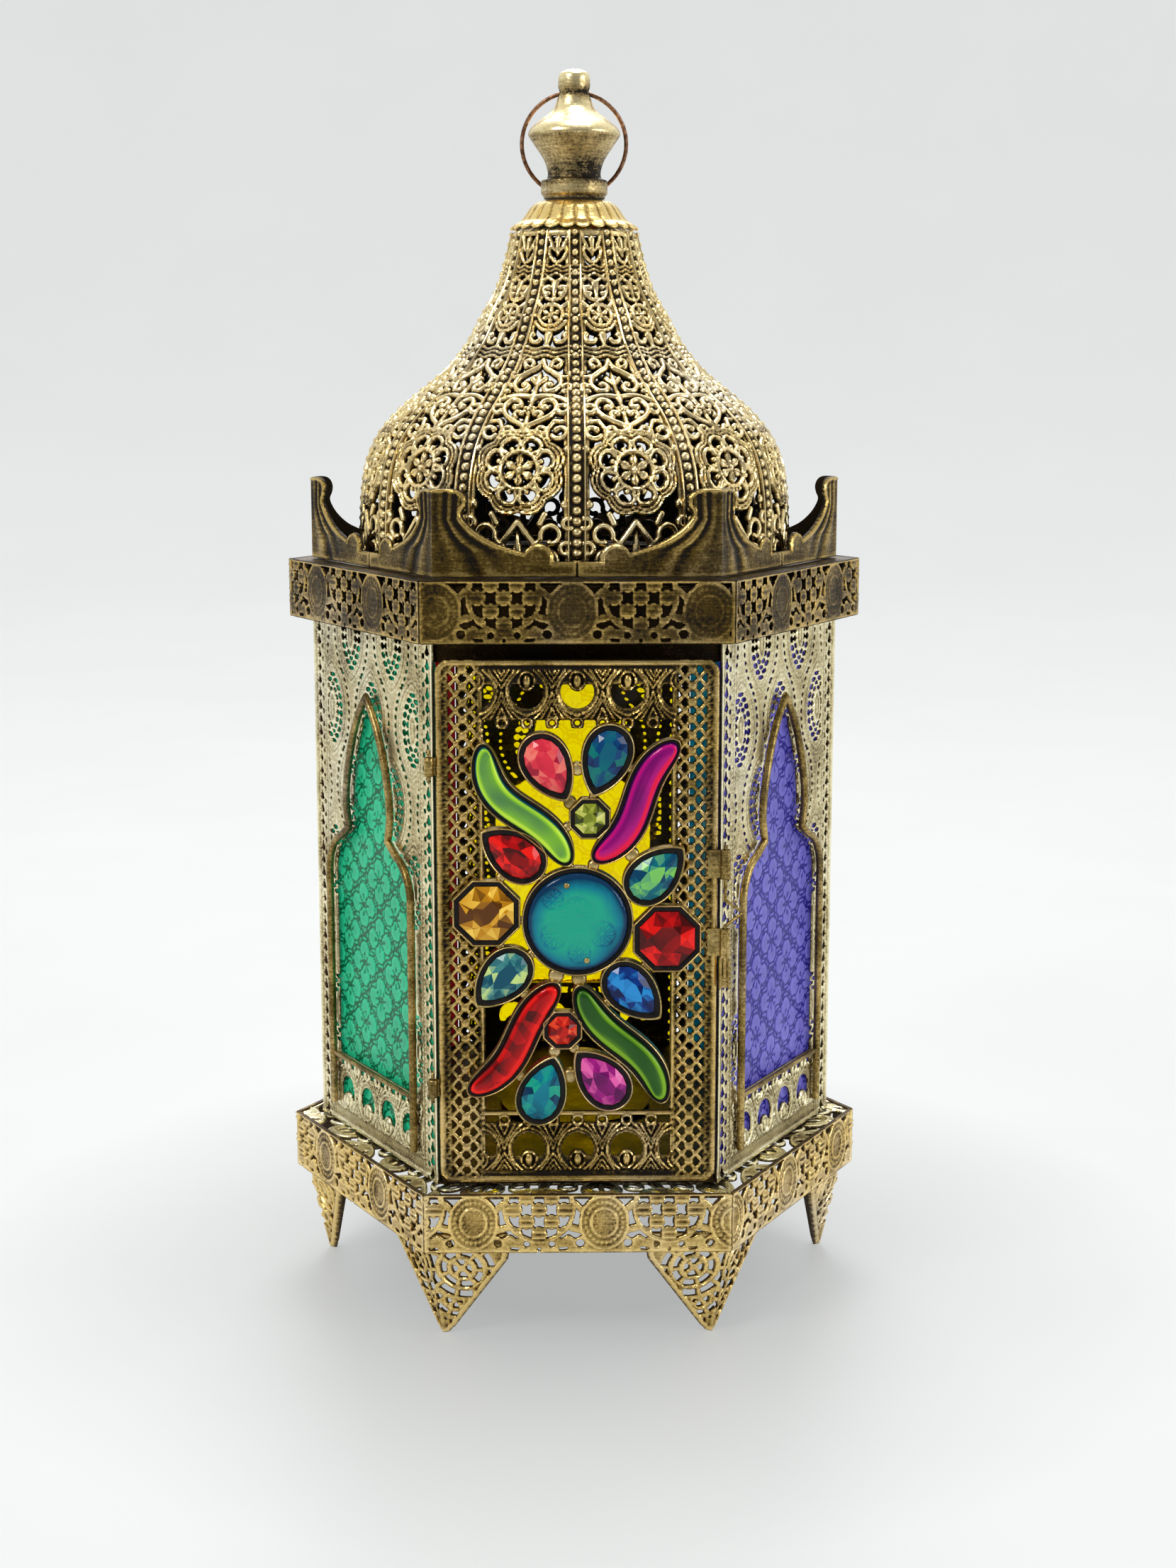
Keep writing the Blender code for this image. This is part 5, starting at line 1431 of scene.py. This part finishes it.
def s_outline(start, end, bow, wave, inset, count):
    """The same for an S-shaped stone: a wavy middle line with a width that closes at both ends."""
    a, b = np.array(start), np.array(end)
    along = (b - a) / np.linalg.norm(b - a)
    side = np.array([-along[1], along[0]])
    s = (1 - np.cos(np.linspace(0, math.pi, count // 2 + 1))) / 2
    sway = bow * np.sin(math.pi * s) + wave * np.sin(2 * math.pi * s)
    pull = (1 - inset) * (2 * s - 1) * np.abs(2 * s - 1) ** 7
    line = a + np.outer(s, b - a) + np.outer(sway, side) + np.outer(pull, along)
    heading = np.gradient(line, axis=0)
    normal = np.column_stack([-heading[:, 1], heading[:, 0]])
    normal /= np.linalg.norm(normal, axis=1)[:, None]
    width = (S_WIDTH / 2 - inset) * np.sqrt(np.clip(1 - np.abs(2 * s - 1) ** 4, 0, 1))
    left, right = line + normal * width[:, None], line - normal * width[:, None]
    return np.vstack([right[:-1], left[:0:-1]])


def outline_of(name, inset, count, phase=0.0):
    if name in STONES:
        return stone_outline(*STONES[name][:5], inset, count, phase)
    return s_outline(*S_STONES[name][:4], inset, count)


def section_loft(name, section, count=96):
    """A section of (inset, depth) carried round a stone's outline."""
    front = SETTING_BACK_Y - BEZEL_DEPTH
    return loft([at_depth(outline_of(name, i, count), front + d) for i, d in section], wrap=True)


def solder_joints(names):
    """A small domed post of solder wherever two bezels come close."""
    outlines = {n: outline_of(n, 0, 48) for n in names}
    found = []
    for i, one in enumerate(names):
        for two in names[i + 1:]:
            gaps = np.linalg.norm(outlines[one][:, None] - outlines[two][None], axis=2)
            a, b = np.unravel_index(gaps.argmin(), gaps.shape)
            if gaps[a, b] < SOLDER_GAP:
                middle = (outlines[one][a] + outlines[two][b]) / 2
                found.append(stud(*middle, gaps[a, b] / 2 + 0.8, SOLDER_PROFILE))
    return found


def stud(x, z, radius, profile):
    """A round stud that faces forwards, from a profile of (share of its radius, y)."""
    turn = np.radians(np.arange(16) * 22.5)
    circle = np.column_stack([np.cos(turn), np.sin(turn)]) * radius
    return loft([at_depth(circle * share + [x, z], y) for share, y in profile])


def set_painted_light(mesh, domain, values):
    """Painted light and shade on each point or face of a stone, which its material reads."""
    mesh.attributes.new("wear_and_painted_light", "FLOAT", domain).data.foreach_set("value", np.asarray(values, np.float32))


def cut_stone(name, slot, levels):
    """A cut stone: the hull of rings of points (inset, y, count, phase), with flat facets."""
    bm = bmesh.new()
    for inset, y, count, phase in levels:
        for point in at_depth(outline_of(name, inset, count, phase), y):
            bm.verts.new(point * MM)
    hull = bmesh.ops.convex_hull(bm, input=bm.verts)
    bmesh.ops.delete(bm, geom=hull["geom_interior"], context="VERTS")
    bmesh.ops.dissolve_limit(bm, angle_limit=math.radians(1), verts=bm.verts, edges=bm.edges)
    bmesh.ops.recalc_face_normals(bm, faces=bm.faces)
    mesh = bpy.data.meshes.new(name.replace("stone", "cut", 1))
    bm.to_mesh(mesh)
    bm.free()
    x, z = outline_of(name, 0, 64).mean(axis=0) * MM
    # Painted light and shade: each facet's tone, set by its angle round the stone, stands in for its
    # reflections.
    painted_facet_light = []
    for face in mesh.polygons:
        angle = math.atan2(face.center.z - z, face.center.x - x)
        painted_facet_light.append(0.5 + 0.32 * math.sin(5 * angle + 1.3) + 0.22 * math.cos(3 * angle - 0.4))
    set_painted_light(mesh, "FACE", painted_facet_light)
    piece(mesh, GEMS[slot], "door", [name])


def cabochon(name, slot):
    """An S-shaped stone: smooth, with painted shade at its rim, a painted highlight just inside it, and
    painted light towards its lower right.
    """
    points, faces = loft([at_depth(outline_of(name, i, 96), y) for i, y in S_SECTION])
    mesh = new_mesh(name.replace("stone", "cabochon", 1), points, faces)
    insets = np.repeat([i for i, _ in S_SECTION], 96)
    middle = np.tile(outline_of(name, S_WIDTH / 2 - 0.05, 96), (len(S_SECTION), 1))
    # Painted light: lighter towards the lower right, darker towards the upper left.
    painted_side_light = (points[:, [0, 2]] - middle) @ [0.5, -0.8] / 3
    set_painted_light(mesh, "POINT", np.clip(np.interp(insets, *S_PAINTED_LIGHT) + painted_side_light * 0.4, 0, 1))
    piece(mesh, GEMS[slot], "door", [name])


def centre_stone(name):
    """A flat round stone whose face is engraved with flowers."""
    _, x, z, length, _, slot = STONES[name]
    radius = length / 2 - 1.7
    reach = radius + 0.5
    sheet = Sheet((-reach, -reach), (reach, reach), STONE_STEP)
    u, v = sheet.u, sheet.v
    sheet.add(disc(u, v, 0, 0, radius), 0.9, 1.5)
    for cx, cy, size in FLOWERS:
        along, across = spokes(u, v, cx, cy, 8)
        petals = stroke(along, across, [(size * 0.3, 0), (size * 0.85, 0)], [0.2, size * 0.2])
        sheet.engrave(0.2 - np.abs(petals), 0.12, 0.2)
        sheet.engrave(0.22 - np.abs(np.hypot(u - cx, v - cy) - size * 1.15), 0.1, 0.2)
    sheet.top = sheet.top + 0.5 * np.clip(1 - (np.hypot(u, v) / radius) ** 2, 0, 1)
    points, polygons, rims = sheet.trace()
    # Painted light and shade: dark at the rim, lighter where the face stands high, darker in the engraved
    # lines; the tone also runs darker towards the top.
    points[:, 3] = 0.18 + 0.5 * np.clip((radius - np.hypot(points[:, 0], points[:, 1])) / 1.2, 0, 1)
    points[:, 3] += np.clip((points[:, 2] - 1.15) * 2.4, -0.4, 0.2) - points[:, 1] * 0.014
    place = facing_front(x, CENTRE_FACE_Y, z)
    mesh = sheet_mesh("cabochon_centre", (points, polygons, rims), THICK["centre"], place)
    piece(mesh, GEMS[slot], "door", [name])


def make_stones():
    centre_stone("stone_centre")
    for name, (kind, _, _, length, _, slot) in STONES.items():
        if kind == ROUND:
            continue
        half = length / 2 * (PEAR_RATIO if kind == PEAR else 1)
        girdle = 1.75 if half > 6 else 1.5
        corners, phase = (8, 0.5) if kind == OCTAGON else (16, 0.0)
        middle, table = girdle + half * 0.22, girdle + half * 0.42
        cut_stone(name, slot, [
            (girdle + 0.3, STONE_FOOT_Y, corners, phase), (girdle, GIRDLE_LOW_Y, corners, phase),
            (girdle, GIRDLE_HIGH_Y, corners, phase), (middle, CROWN_Y, corners, phase + 0.5),
            (table, STONE_FRONT_Y, 8, phase),
        ])
    for name, (*_, slot) in S_STONES.items():
        cabochon(name, slot)


def make_setting():
    names = list(STONES) + list(S_STONES)
    bezels = [section_loft(n, BEZEL_SECTION) for n in names]
    points, faces = joined(bezels + solder_joints(names) + centre_dots())
    mesh = new_mesh("bezels", points, faces)
    piece(mesh, BRASSES["brass_bezel"], "door", ["gem_setting"])
    # The beds are near-black, painted shade between each bezel and its stone.
    points, faces = joined([section_loft(n, BED_SECTION) for n in names])
    piece(new_mesh("bezel_beds", points, faces), BEZEL_SHADE, "door", ["gem_setting"])


def centre_dots():
    """Two small brass studs near the edge of the centre stone."""
    _, x, z, *_ = STONES["stone_centre"]
    return [stud(x + dx, z + dz, 0.75, DOT_PROFILE) for dx, dz in ((-2.9, 9.9), (2.4, -10.2))]


# --- CAD nodes that stay -------------------------------------------------------------------------

CAD_SHARP_ANGLE = math.radians(35)
# Each kept node's brass and the width of its bevel; the base tray's near-black brass is painted shade
# inside the lantern.
KEPT_NODES = {
    "base_tray": ("brass_inner_shade", 0.15),
    "hinge_staple_lower": ("brass_frame", 0), "hinge_staple_upper": ("brass_frame", 0),
    "latch_keeper": ("brass_frame", 0.12), "latch_bolt": ("brass_frame", 0),
    "clasp_upper": ("brass_frame", 0.12), "clasp_lower": ("brass_frame", 0.12),
}


def finish_cad_nodes():
    """Nodes whose shape is right: smooth shading, a small bevel and a finished material."""
    for name, (material, width) in KEPT_NODES.items():
        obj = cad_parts[name]
        obj.data.materials.clear()
        obj.data.materials.append(BRASSES[material])
        obj.data.shade_smooth()
        obj.data.set_sharp_from_angle(angle=CAD_SHARP_ANGLE)
        if width:
            mod = obj.modifiers.new("edge", "BEVEL")
            mod.width = width * MM
            mod.segments = 2
            mod.angle_limit = CAD_SHARP_ANGLE


# --- stage ---------------------------------------------------------------------------------------

CAMERA_LENS, CAMERA_PLACE, CAMERA_AIM = 53.2, (-6.6, -660.6, 260.9), (0.0155, 0.9838, -0.179)
FLOOR_PROFILE = [(0.02, 0), (0.6, 0), (1.4, 0), (1.9, 0.05), (2.4, 0.25), (2.8, 0.7), (3.0, 1.4)]
LIGHT_AIM = (0, 0, 0.17)


def make_camera():
    data = bpy.data.cameras.new("camera")
    data.lens, data.sensor_width = CAMERA_LENS, 36.0
    data.dof.use_dof = False
    camera = linked("camera", data)
    camera.location = Vector(CAMERA_PLACE) * MM
    camera.rotation_euler = Vector(CAMERA_AIM).to_track_quat("-Z", "Y").to_euler()
    bpy.context.scene.camera = camera


def make_floor():
    """A pale floor that curves up into a low wall all round."""
    angle = np.linspace(0, 2 * math.pi, 96, endpoint=False)
    rings = [hoop(r / MM, z / MM, angle) for r, z in spline(FLOOR_PROFILE, 6)]
    points = np.vstack(rings)
    faces = [ring_faces(len(rings), 96, False), np.arange(96)[None, :]]
    floor = linked("floor", new_mesh("floor", points, faces))
    floor.data.materials.append(floor_look())


def floor_look():
    """Pale and lit from within, less so far in front of the lantern; close round it the glow drops as a
    painted shadow of the lantern.
    """
    look = Look(bpy.data.materials.new("floor"))
    coords = look.coords()
    depth = look.node("ShaderNodeSeparateXYZ", {"Vector": coords})
    reach = look.node("ShaderNodeVectorMath", {0: coords}, operation="LENGTH")
    front = look.spread(depth.outputs["Y"], 0.22, 0.70, -1.5, -0.5)
    # Painted shadow: the floor's glow drops close round the lantern.
    shade = look.spread(reach.outputs["Value"], 0.62, 1.0, 0.05, 0.19)
    look.feed(look.shader, {
        "Base Color": look.ramp(look.noise(coords, 6), [(0.3, (0.10,) * 3), (0.7, (0.12,) * 3)]),
        "Roughness": 0.5,
        "Emission Color": (0.93, 0.955, 0.95, 1),
        "Emission Strength": look.math("MULTIPLY", front, shade),
    })
    return look.owner


def area_light(name, location, size, energy, color=(1, 1, 1)):
    data = bpy.data.lights.new(name, "AREA")
    data.size, data.energy, data.color = size, energy, color
    light = linked(name, data)
    light.location = location
    aim = Vector(LIGHT_AIM) - Vector(location)
    light.rotation_euler = aim.to_track_quat("-Z", "Y").to_euler()


def make_lights():
    """Soft lights, and a room that is brighter behind the lantern than in front of it."""
    area_light("key", (-0.8, -0.8, 1.1), 0.4, 9, (1.0, 0.97, 0.9))
    area_light("fill", (1.1, -0.5, 0.5), 0.5, 4, (0.95, 0.97, 1.0))
    area_light("top", (0.1, 0.1, 1.4), 0.5, 6)
    area_light("back", (0.0, 0.75, 0.95), 0.5, 8)
    world = bpy.data.worlds.new("studio")
    bpy.context.scene.world = world
    look = Look(world, "Background")
    direction = look.node("ShaderNodeSeparateXYZ", {"Vector": look.coords("Generated")})
    look.feed(look.shader, {
        "Color": (0.90, 0.92, 0.91, 1),
        "Strength": look.spread(direction.outputs["Y"], 0.4, 1.0, -0.8, 0.6),
    })
    bpy.context.scene.view_settings.view_transform = "Standard"


for make in (
    make_camera, make_floor, make_lights, make_dome, make_bands, make_collar, make_deck, make_panels,
    make_corners, make_cap, make_finial, make_ring, make_door, make_stones, make_setting,
    finish_cad_nodes,
):
    make()
